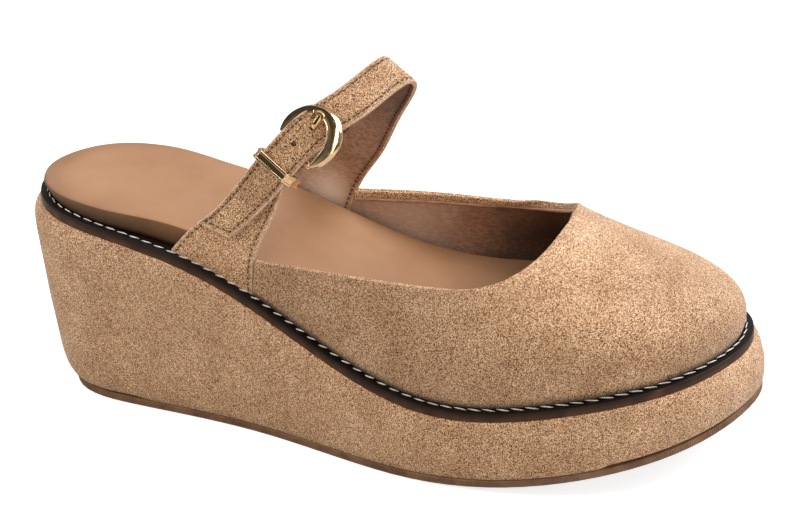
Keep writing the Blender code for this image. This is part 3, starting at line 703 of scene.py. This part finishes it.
# The rolled edge is a paler copy of the lining, as a painted highlight on the cord
ROLL_HIGHLIGHT_LINING = lining("rolled_edge_painted_highlight", "#b58f7b", "#c7a28f", "#d8b5a3")
upper_shape = cad_shape("upper")
keep_edges(upper_shape)
rear_faces = [
    f for f in upper_shape.faces
    if f.normal.x < REAR_FACING and f.calc_center_median().y > 0 > f.calc_center_median().x
]
rear_verts = {v for f in rear_faces for v in f.verts}
through = [e for e in upper_shape.edges if rear_verts.issuperset(e.verts) and e.calc_length() > REAR_WALL]
for edge in through:
    core = (edge.verts[0].co + edge.verts[1].co) / 2
    for vert in edge.verts:
        vert.co = core + (vert.co - core) * REAR_THIN
for vert in rear_verts:
    vert.co.x -= REAR_LAP
for face in upper_shape.faces:
    core = face.calc_center_median()
    inward = Vector((min(core.x, LINING_AXIS[0]), *LINING_AXIS[1:])) - core
    face.material_index = int(face.normal.dot(inward.normalized()) > LINING_FACING)
long_runs = [run for run in chains(sharp_edges(upper_shape, CREASE_ANGLE)) if len(run) > TOP_POINTS]
top_run = max(long_runs, key=lambda run: run[:, 2].mean())
upper = make_piece("upper_shell", upper_shape, [SUEDE, LINING], levels=2)
# Painted light and shade on the suede and its foot, then on the lining
paint_light_and_shade(upper, UPPER_PAINTED_LIGHT + shade_along(step_in(welt_top, FOOT_INSET), FOOT_REACH, FOOT_SHADE), 0)
paint_light_and_shade(upper, QUARTER_PAINTED_LIGHT, 1)
mount(upper, "suede", "upper")

wall = BVHTree.FromPolygons([v.co for v in upper.data.vertices], [p.vertices for p in upper.data.polygons])
medial_top = resample(top_run[top_run[:, 1] > TURN_IN_END], TOP_STEP)
level = np.gradient(medial_top, axis=0) * (1, 1, 0)
within = unit(np.cross(up, level))
within *= np.sign(((np.array(LINING_AXIS) - medial_top) * within).sum(axis=1))[:, None]
probes = medial_top + within * TOP_PROBE - up * ROLL_DROP
nearest = np.array([np.concatenate(wall.find_nearest(Vector(probe))[:2]) for probe in probes])
count = len(nearest)
nearest = cubic(np.arange(count, dtype=float), nearest, np.linspace(0, count - 1, TOP_SPLITS * count))
roll_path = nearest[:, :3]
inward = unit(nearest[:, 3:])
down = unit(inward * inward[:, 2:] - up)
facing = np.sign((np.cross(np.gradient(roll_path, axis=0), down) * inward).sum())
turn_in = bar_along("turned_in_edge", roll_path, down, TURN_IN * (1, facing), SUEDE)
mount(turn_in, "suede")
roll = tube("lining_roll", roll_path + down * ROLL_RADIUS, ROLL_RADIUS, ROLL_HIGHLIGHT_LINING)
mount(roll, "suede")


# Strap base and strap
# The base is a flared tab of suede sewn in at the lateral side. The strap comes up from the medial side,
# passes through the buckle and the keeper and lies on the base with a squared end. Both are suede on
# microfibre, sewn along their edges with dark brown thread.
# Rows in mm from lateral foot to medial foot: rear edge x, y, z, then front edge x, y, z
STRAP_ROWS = [
    (-63.2, -32.3, 61.1, -32.5, -35.8, 50.9),
    (-55.7, -31.0, 69.9, -32.2, -34.4, 62.4),
    (-48.2, -29.6, 75.9, -29.1, -31.8, 72.0),
    (-41.4, -26.7, 83.6, -26.3, -28.4, 79.0),
    (-33.4, -23.5, 94.4, -22.8, -24.6, 87.4),
    (-22.3, -15.7, 107.3, -11.8, -17.7, 99.5),
    (-12.4, -8.0, 114.3, -2.0, -10.0, 106.7),
    (-5.9, 2.0, 119.2, 5.1, -0.1, 111.2),
    (-1.5, 10.0, 121.7, 9.9, 8.4, 114.5),
    (-3.3, 16.2, 115.8, 7.6, 14.4, 107.8),
    (-11.7, 22.4, 103.4, -0.6, 20.4, 95.2),
    (-23.2, 28.0, 88.0, -9.6, 26.0, 79.7),
    (-38.7, 31.2, 73.0, -19.4, 29.9, 66.0),
    (-54.7, 29.0, 58.9, -26.2, 29.8, 48.2),
]
# Places along the strap are counted in rows
LAST = len(STRAP_ROWS) - 1.0
NUDGE = 0.02
# The strap's usual width, and the place from which it widens to its medial foot
STRAP_WIDTH = 12.6 * MM
FLARE_START = 7.0
FOOT_FLARE = 0.5 * MM
PLY_STEPS = 14
PLY_BEVEL = 0.2 * MM
SUEDE_PLY = 1.2 * MM
LINING_PLY = 0.8 * MM
BASE_DROP = 2.3 * MM
FREE_END = 1.42
KEEPER_PLACE = 4.12
BUCKLE_PLACE = 5.0
BASE_END = 4.15
HOLE_RADIUS = 0.85 * MM
HOLE_SIDES = 20
HOLE_TOOL = 9 * MM
# Ahead and across from the strap's middle at the buckle
PRONG_HOLE = (1.7 * MM, 0.2 * MM)
SPARE_HOLE = (-6.25 * MM, 0.25 * MM)
SEAM_INSET = 1.7 * MM
SEAM_DIP = 0.25 * MM
EDGE_FALL = 0.35 * MM
DIP_WIDTH = 0.5 * MM
SEAM_SINK = 0.1 * MM
SEAM_STEPS = 8
SEAM_PITCH = 1.85 * MM
SEAM_BEAD = {"Length": 1.25 * MM, "Width": 0.4 * MM, "Height": 0.35 * MM}
# Painted shade along each seam: how far it reaches and how much lighter it is
SEAM_REACH = 0.6 * MM
SEAM_SHADE = -0.12
# Places where the seams start and stop
STRAP_SEAM = (FREE_END + 0.25, LAST - 0.3)
LINING_SEAM = (BUCKLE_PLACE, LAST - 0.3)
BASE_REAR_SEAM = (0.1, FREE_END + 0.1)
BASE_FRONT_SEAM = (0.1, BASE_END - 0.4)
END_SEAM = FREE_END + 0.24
END_POINTS = 6
# Columns of points in from either edge, close together where the seam dips
EDGE_COLUMNS = np.array([0.0, 0.55, 0.8, 1.1, 1.45, 1.7, 1.95, 2.3, 2.9, 3.8]) * MM
MIDDLE_COLUMNS = 7
# Painted shade on the strap's suede; on its lining a painted sheen low on the medial side and painted shade
# at the top: x, y, z and reach in mm, then how much lighter
STRAP_PAINTED_SHADE = [(4, 8, 118, 22, -0.1), (-20, -16, 104, 20, -0.1), (-38, -26, 86, 16, -0.12)]
STRAP_LINING_PAINTED_LIGHT = [(-31, 28, 62, 8, 1.1), (-22, 27, 74, 14, -0.12), (0, 12, 106, 26, -0.7)]


def strap_edges(places):
    """Rear and front edge of the strap's outer face at places counted in rows."""
    rows = np.array(STRAP_ROWS) * MM
    both = cubic(np.arange(len(rows), dtype=float), rows, places)
    return both[:, :3], both[:, 3:]


def strap_face(places, trimmed):
    """Rear edge, unit direction across, width and unit normal of the strap's outer face."""
    rear, front = strap_edges(places)
    ahead = sum(strap_edges(places + NUDGE)) - sum(strap_edges(places - NUDGE))
    across = front - rear
    wide = np.linalg.norm(across, axis=1)
    across /= wide[:, None]
    if trimmed:
        wide = np.minimum(wide, STRAP_WIDTH + FOOT_FLARE * np.maximum(0, places - FLARE_START) ** 2)
    return rear, across, wide, unit(np.cross(across, ahead))


def strap_ply(name, start, end, trimmed, top, bottom, material):
    """One layer of strap between two depths under the outer face, dipped along its seams."""
    places = np.linspace(start, end, int((end - start) * PLY_STEPS))
    rear, across, wide, normal = strap_face(places, trimmed)
    edge = np.broadcast_to(EDGE_COLUMNS, (len(places), len(EDGE_COLUMNS)))
    spare = (wide - 2 * EDGE_COLUMNS[-1])[:, None]
    inner = EDGE_COLUMNS[-1] + spare * np.linspace(0, 1, MIDDLE_COLUMNS + 2)[1:-1]
    away = np.concatenate([edge, inner, wide[:, None] - edge[:, ::-1]], axis=1)
    margin = np.minimum(away, wide[:, None] - away)
    dip = SEAM_DIP * np.exp(-((margin - SEAM_INSET) / DIP_WIDTH) ** 2)
    dip += EDGE_FALL * np.exp(-(margin / DIP_WIDTH) ** 2)
    flat = rear[:, None] + across[:, None] * away[:, :, None]
    dips = (dip if top <= bottom else -dip)[:, :, None]
    layers = [flat - normal[:, None] * (top + dips), flat - normal[:, None] * bottom]
    shape = bmesh.new()
    grids = [[[shape.verts.new(p) for p in row] for row in layer] for layer in layers]
    rows, columns = flat.shape[:2]
    for grid in grids:
        for r in range(rows - 1):
            for c in range(columns - 1):
                face = shape.faces.new((grid[r][c], grid[r][c + 1], grid[r + 1][c + 1], grid[r + 1][c]))
                face.material_index = int(c in (0, columns - 2) or r == 0)
    border = [(0, c) for c in range(columns)] + [(r, columns - 1) for r in range(1, rows)]
    border += [(rows - 1, c) for c in range(columns - 2, -1, -1)] + [(r, 0) for r in range(rows - 2, 0, -1)]
    for (r, c), (r2, c2) in zip(border, border[1:] + border[:1]):
        side = shape.faces.new((grids[0][r][c], grids[0][r2][c2], grids[1][r2][c2], grids[1][r][c]))
        side.material_index = 1
    bmesh.ops.recalc_face_normals(shape, faces=shape.faces)
    return make_piece(name, shape, [material, CUT_EDGE], bevel=PLY_BEVEL)


def strap_axes(place):
    """Middle of the strap's outer face at a place, with its directions ahead, across and off."""
    rear, across, wide, normal = strap_face(place + np.array([-NUDGE, 0.0, NUDGE]), False)
    middle = rear + across * wide[:, None] / 2
    off = normal[1]
    ahead = middle[2] - middle[0]
    ahead -= off * ahead.dot(off)
    ahead /= np.linalg.norm(ahead)
    return middle[1], ahead, np.cross(off, ahead), off


def strap_seam(name, ply, path, off):
    """Row of dark stitches along a path, with painted shade on the ply in the groove that they pull."""
    paint_light_and_shade(ply, shade_along(path, SEAM_REACH, SEAM_SHADE))
    count = round(path_length(path) / SEAM_PITCH)
    mount(repeat(name, BEADS_ON_PATH, path, off, DARK_THREAD, Count=count, **SEAM_BEAD), "suede")


def edge_seam(name, ply, span, trimmed, from_front, depth, facing=1):
    """Seam along one edge at a depth, on the outer face or, facing -1, on the lining."""
    places = np.linspace(*span, int((span[1] - span[0]) * SEAM_STEPS))
    rear, across, wide, normal = strap_face(places, trimmed)
    away = (wide - SEAM_INSET if from_front else np.full(len(places), SEAM_INSET))[:, None]
    strap_seam(name, ply, rear + across * away - normal * depth, normal * facing)


def punch(piece, shape_of_hole):
    """Cuts a tool shape out of a piece."""
    cut = piece.modifiers.new("punch", "BOOLEAN")
    cut.operation = "DIFFERENCE"
    cut.object = shape_of_hole
    cut.material_mode = "TRANSFER"
    settle(piece)


def cut_edge(name, dark, light):
    """Cut edge of suede: matt and frayed, paler than its face where sliced; the nearly black wall of a
    punched hole is painted shade.
    """
    material, tree, place = new_finish(name)
    _, tone = mottle(tree, place, 0.6, [(0.35, dark), (0.65, light)])
    add(tree, "Principled BSDF", {"Base Color": tone, "Roughness": 0.9})
    return material


CUT_EDGE = cut_edge("raw_suede_edge", "#b58b6c", "#e6c6aa")
# Near-black hole walls are painted shade inside the holes
HOLE_SHADE_EDGE = cut_edge("hole_wall_painted_shade", "#1d120a", "#2c1c11")
STRAP_SUEDE = suede("coarse_tan_suede", 0.22)
DARK_THREAD = waxed_thread("waxed_brown_thread", "#3c220e", "#5c3618")
inside = SUEDE_PLY + LINING_PLY
base_joint = BASE_DROP + SUEDE_PLY
base_inside = BASE_DROP + inside
strap_suede = strap_ply("strap_suede", FREE_END, LAST, True, 0.0, SUEDE_PLY, STRAP_SUEDE)
strap_lining = strap_ply("strap_lining", FREE_END, LAST, True, inside, SUEDE_PLY, LINING)
base_suede = strap_ply("base_suede", 0.0, BASE_END, False, BASE_DROP, base_joint, STRAP_SUEDE)
base_lining = strap_ply("base_lining", 0.0, BASE_END, False, base_inside, base_joint, LINING)
middle, ahead, across, off = strap_axes(BUCKLE_PLACE)
for hole, plies in ((PRONG_HOLE, [strap_suede]), (SPARE_HOLE, [strap_suede, strap_lining])):
    tool_shape = bmesh.new()
    bmesh.ops.create_cone(
        tool_shape, cap_ends=True, segments=HOLE_SIDES, depth=HOLE_TOOL,
        radius1=HOLE_RADIUS, radius2=HOLE_RADIUS,
    )
    turn = Vector(off).to_track_quat("Z", "Y").to_matrix()
    bmesh.ops.rotate(tool_shape, matrix=turn, verts=tool_shape.verts)
    spot = Vector(middle + ahead * hole[0] + across * hole[1])
    bmesh.ops.translate(tool_shape, vec=spot, verts=tool_shape.verts)
    tool = make_piece("hole_tool", tool_shape, [HOLE_SHADE_EDGE])
    for ply in plies:
        punch(ply, tool)
    bpy.data.objects.remove(tool)
# Painted light and shade on the strap's lining and suede
paint_light_and_shade(strap_lining, STRAP_LINING_PAINTED_LIGHT)
paint_light_and_shade(strap_suede, STRAP_PAINTED_SHADE)
mount(strap_suede, "suede", "strap")
mount(strap_lining, "suede")
mount(base_suede, "suede", "strap_base")
mount(base_lining, "suede")
edge_seam("strap_seam_rear", strap_suede, STRAP_SEAM, True, False, SEAM_SINK)
edge_seam("strap_seam_front", strap_suede, STRAP_SEAM, True, True, SEAM_SINK)
edge_seam("strap_lining_seam_rear", strap_lining, LINING_SEAM, True, False, inside, -1)
edge_seam("strap_lining_seam_front", strap_lining, LINING_SEAM, True, True, inside, -1)
edge_seam("base_seam_rear", base_suede, BASE_REAR_SEAM, False, False, BASE_DROP + SEAM_SINK)
edge_seam("base_seam_front", base_suede, BASE_FRONT_SEAM, False, True, BASE_DROP + SEAM_SINK)
end_rear, end_across, end_wide, end_off = (v[0] for v in strap_face(np.array([END_SEAM]), True))
end_away = np.linspace(SEAM_INSET, end_wide - SEAM_INSET, END_POINTS)[:, None]
strap_seam("strap_seam_end", strap_suede, end_rear + end_across * end_away + end_off * SEAM_SINK, end_off)


# Buckle and keeper
# A cast horseshoe buckle: a flat band with an outer bevel and a thin inner rim, notched for its prong. A
# loop of suede holds its bar. The keeper is a folded sheet loop with raised edges. Both are plated a pale
# gold and polished.
BUCKLE_OUTER = 10.85 * MM
# Ahead, across and off the strap's middle; the frame leans, its rear arm under the strap's edge
BUCKLE_CENTRE = np.array([-0.6, -1.5, 0.8]) * MM
BUCKLE_LEAN = math.radians(14)
BUCKLE_SWEEP = 127
BUCKLE_STEPS = 181
# Degrees round from the middle of the round end, towards the strap's rear edge, and width of the band
BAND_WIDTHS = [
    (-127, 1.3), (-110, 3.3), (-86, 4.5), (-35, 5.0), (7, 4.3), (45, 4.1), (90, 3.6), (127, 2.4),
]
# The same bearings, and width of the outer bevel
BEVEL_WIDTHS = [(-127, 0.5), (-105, 0.8), (-35, 0.9), (20, 1.0), (60, 0.7), (95, 0.3), (127, 0.25)]
NOTCH_BEARING = 27
NOTCH_HALF = 17
NOTCH_DEPTH = 1.4 * MM
# Heights over the band's middle, from its back up to the rim, and widths on the rim
BAND_BACK = -0.9 * MM
BEVEL_FOOT = -0.45 * MM
BEVEL_TOP = 0.8 * MM
BAND_FACE = 0.75 * MM
RIM_TOP = 0.95 * MM
RIM_WIDTH = 0.5 * MM
FACE_EASE = 0.1 * MM
RIM_EASE = 0.12 * MM
# Bends of the bar under the strap: ahead, across and off in mm
BAR_ROWS = np.array([(-7.2, -8.4, 0.6), (-7.3, -7.2, -2.6), (-7.3, -4.5, -3.7), (-7.3, 3.5, -3.7)]) * MM
BAR_STEP = 0.5 * MM
BAR_SIDES = 12
BAR_RADIUS = 0.9 * MM
BAR_AHEAD = -7.3 * MM
BAR_DROP = -3.7 * MM
LOOP_WIDTH = 9 * MM
LOOP_PLY = 0.7 * MM
LOOP_TAIL = 2 * MM
LOOP_STEPS = 13
LOOP_PROFILE = np.array([(-0.5, -0.5), (0.5, -0.5), (0.5, 0.5), (-0.5, 0.5)]) * (LOOP_WIDTH, LOOP_PLY)
# The prong from the bar up through the hole: ahead, across and off in mm
PRONG_ROWS = np.array([
    (-7.2, -0.4, -3.7), (-3.0, -0.4, -3.4), (0.6, -0.2, -2.9), (1.5, 0.1, -1.2), (2.1, 0.3, 0.3),
    (2.9, 0.5, 0.95), (4.6, 0.95, 1.3), (6.4, 1.45, 1.35),
]) * MM
PRONG_PROFILE = np.array([(1.1, -0.6), (1.1, 0.1), (0.55, 0.6), (-0.55, 0.6), (-1.1, 0.1), (-1.1, -0.6)]) * MM
PRONG_STEP = 0.3 * MM
PRONG_TIP = 0.4
PRONG_TIP_STEPS = 3
# Half of the loop's sheet and its raised edges: along the strap and off the sheet in mm
KEEPER_HALF = [(1.7, -0.6), (1.7, 0.45), (1.5, 0.6), (1.0, 0.6), (0.85, 0.3)]
KEEPER_WALL = 1.2 * MM
KEEPER_SLACK = 0.45 * MM
KEEPER_CORNER = 1.0 * MM
KEEPER_FACET = (2.6 * MM, 1.9 * MM)
KEEPER_FLARE = 1.2 * MM


def gold_plate():
    """Pale gold plating on polished castings: a clear mirror with a faint haze from handling."""
    material, tree, place = new_finish("polished_pale_gold")
    haze, tone = mottle(tree, place, 2.5, [(0.3, "#e4bb8a"), (0.7, "#f1d1a4")], Detail=4.0)
    rough = {"Value": haze, "From Min": 0.3, "From Max": 0.7, "To Min": 0.06, "To Max": 0.14}
    rough = add(tree, "ShaderNodeMapRange", rough).outputs["Result"]
    add(tree, "Principled BSDF", {"Base Color": tone, "Metallic": 1.0, "Roughness": rough})
    return material


def read_rows(rows):
    """First column of a short table, and its second column in metres as a column of its own."""
    table = np.array(rows, float)
    return table[:, 0], table[:, 1:] * MM


def on_strap(plan):
    """Points from rows of distance ahead, across and off the strap at the buckle."""
    return middle + np.asarray(plan) @ np.array([ahead, across, off])


GOLD = gold_plate()
bearing = np.linspace(-BUCKLE_SWEEP, BUCKLE_SWEEP, BUCKLE_STEPS)
turn = np.radians(bearing)
half = cubic(*read_rows(BAND_WIDTHS), bearing)[:, 0] / 2
bevel = cubic(*read_rows(BEVEL_WIDTHS), bearing)[:, 0]
lean = across * math.cos(BUCKLE_LEAN) - off * math.sin(BUCKLE_LEAN)
side = np.column_stack([np.cos(turn), np.sin(turn)]) @ np.array([ahead, lean])
path = on_strap(BUCKLE_CENTRE) + side * (BUCKLE_OUTER - half)[:, None]
beside = np.clip(abs(bearing - NOTCH_BEARING) / NOTCH_HALF, 0, 1)
notch = NOTCH_DEPTH * np.sqrt(1 - beside ** 2)
profiles = []
for w, n, slope in zip(half, notch, bevel):
    inner = n - w
    profiles.append(np.array([
        (w, BAND_BACK), (w, BEVEL_FOOT), (w - slope, BEVEL_TOP), (w - slope - FACE_EASE, BAND_FACE),
        (inner + RIM_WIDTH, BAND_FACE), (inner + RIM_WIDTH - FACE_EASE, RIM_TOP), (inner + RIM_EASE, RIM_TOP),
        (inner, BEVEL_TOP), (inner, BAND_BACK),
    ]) * (1, -1))
buckle = bar_along("buckle_horseshoe", path, side, profiles, GOLD)
mount(buckle, "gold", "buckle_frame")
bar_path = resample(np.array([path[0], *on_strap(BAR_ROWS), path[-1]]), BAR_STEP)
bar = tube("buckle_bar", bar_path, BAR_RADIUS, GOLD, sides=BAR_SIDES)
mount(bar, "gold")

turn = np.radians(np.linspace(-90, 90, LOOP_STEPS))
fold = (BAR_RADIUS + LOOP_PLY / 2) * np.column_stack([np.cos(turn), np.sin(turn)]) + (BAR_AHEAD, 0)
tails = [[(BAR_AHEAD - LOOP_TAIL, height)] for height in fold[[0, -1], 1]]
fold = np.concatenate([tails[0], fold, tails[1]])
loop_rows = np.column_stack([fold[:, 0], np.full(len(fold), BUCKLE_CENTRE[1]), fold[:, 1] + BAR_DROP])
loop = bar_along("bar_loop", on_strap(loop_rows), across, LOOP_PROFILE, STRAP_SUEDE)
mount(loop, "suede")

prong_path = resample(on_strap(PRONG_ROWS), PRONG_STEP)
taper = np.clip(np.arange(len(prong_path), 0, -1) / PRONG_TIP_STEPS, PRONG_TIP, 1)
prong_profiles = [PRONG_PROFILE * (t, 1) for t in taper]
prong = bar_along("buckle_prong_bar", prong_path, across, prong_profiles, GOLD)
mount(prong, "gold", "buckle_prong")

keeper_middle, keeper_ahead, keeper_across, keeper_off = strap_axes(KEEPER_PLACE)
half = strap_face(np.array([KEEPER_PLACE]), False)[2][0] / 2 + KEEPER_SLACK + KEEPER_WALL / 2
top = KEEPER_SLACK + KEEPER_WALL / 2
bottom = -base_inside - KEEPER_SLACK - KEEPER_WALL / 2
cut = KEEPER_CORNER
keeper_plan = np.array([
    (half, top - cut), (half - cut, top), (KEEPER_FACET[0] - half, top), (-half, top - KEEPER_FACET[1]),
    (-half - KEEPER_FLARE, bottom + cut), (-half, bottom), (half - cut, bottom), (half, bottom + cut),
])
keeper_path = keeper_middle + keeper_plan @ np.array([keeper_across, keeper_off])
keeper_profile = np.array(KEEPER_HALF + [(-along, height) for along, height in reversed(KEEPER_HALF)]) * MM
keeper = bar_along("keeper_loop", keeper_path, keeper_ahead, keeper_profile, GOLD, closed=True)
mount(keeper, "gold", "keeper")


# Floor, light and camera
# A plain white studio floor under soft square lights: the strongest above and behind the toe, weaker ones
# overhead, in front and at the heel. The camera stands at the photograph's angle.
FLOOR_HALF = 4.0
# Place, target and side of the square in metres, then watts and colour
LIGHTS = {
    "key_light": ((0.75, 0.55, 1.05), (0.02, 0.0, 0.05), 0.9, 18.5, "#f8f9ff"),
    "top_light": ((-0.1, 0.0, 1.4), (0.0, 0.0, 0.05), 1.2, 5.5, "#f4f8ff"),
    "front_light": ((0.9, -1.1, 0.35), (0.0, 0.0, 0.05), 0.9, 5.0, "#fff4e6"),
    "side_light": ((0.735, -0.42, 0.6), (0.0, 0.0, 0.08), 0.5, 1.6, "#fffaf2"),
    "left_light": ((-1.1, -0.5, 0.7), (-0.05, 0.0, 0.05), 0.6, 8.0, "#fff4e6"),
}
CAMERA_PLACE = (0.35548, -0.83322, 0.47913)
CAMERA_TARGET = (0.00553, 0.00103, 0.05303)
CAMERA_ROLL = math.radians(-2.0)
CAMERA_LENS = 136.5


def studio_floor():
    """Grey-white card, lit up for the camera alone so that only the close contact shadow shows on it."""
    material, tree, place = new_finish("white_studio_card")
    _, tone = mottle(tree, place, 900, [(0.0, "#c4c4c4"), (1.0, "#cccccc")])
    seen = add(tree, "ShaderNodeLightPath").outputs["Is Camera Ray"]
    seen = add(tree, "ShaderNodeMath", {0: seen, 1: 0.8}, operation="MULTIPLY").outputs[0]
    shader = {
        "Base Color": tone, "Roughness": 0.9, "Specular IOR Level": 0.1,
        "Emission Color": linear("#ffffff"), "Emission Strength": seen,
    }
    add(tree, "Principled BSDF", shader)
    return material


floor_shape = bmesh.new()
bmesh.ops.create_grid(floor_shape, x_segments=1, y_segments=1, size=FLOOR_HALF)
floor = make_piece("floor", floor_shape, [studio_floor()])


def aimed(name, data, place, target):
    """Lamp or camera set at a place and turned towards a target."""
    holder = bpy.data.objects.new(name, data)
    holder.location = place
    holder.rotation_euler = (Vector(target) - Vector(place)).to_track_quat("-Z", "Y").to_euler()
    bpy.context.collection.objects.link(holder)
    return holder


for name, (place, target, size, watts, colour) in LIGHTS.items():
    lamp = bpy.data.lights.new(name, "AREA")
    lamp.size = size
    lamp.energy = watts
    lamp.color = linear(colour)[:3]
    aimed(name, lamp, place, target)

studio = bpy.data.worlds.new("studio")
bpy.context.scene.world = studio
studio.use_nodes = True
room = studio.node_tree
bearings = add(room, "ShaderNodeTexCoord").outputs["Generated"]
bearings = add(room, "ShaderNodeSeparateXYZ", {"Vector": bearings}).outputs
behind = {"Value": bearings["Y"], "From Min": -0.45, "From Max": 0.5, "To Min": 0.1, "To Max": 0.9}
behind = add(room, "ShaderNodeMapRange", behind).outputs["Result"]
overhead = {"Value": bearings["Z"], "From Min": 0.67, "From Max": 0.92, "To Min": 0.0, "To Max": 1.0}
overhead = add(room, "ShaderNodeMapRange", overhead).outputs["Result"]
glow = add(room, "ShaderNodeMath", {0: behind, 1: overhead}, operation="MAXIMUM").outputs[0]
add(room, "Background", {"Color": glow, "Strength": 0.6})

lens = bpy.data.cameras.new("camera")
lens.lens = CAMERA_LENS
lens.sensor_width = 36.0
lens.clip_start = 0.05
camera = aimed("camera", lens, CAMERA_PLACE, CAMERA_TARGET)
camera.rotation_euler.rotate_axis("Z", CAMERA_ROLL)
bpy.context.scene.camera = camera
bpy.context.scene.view_settings.view_transform = "Standard"
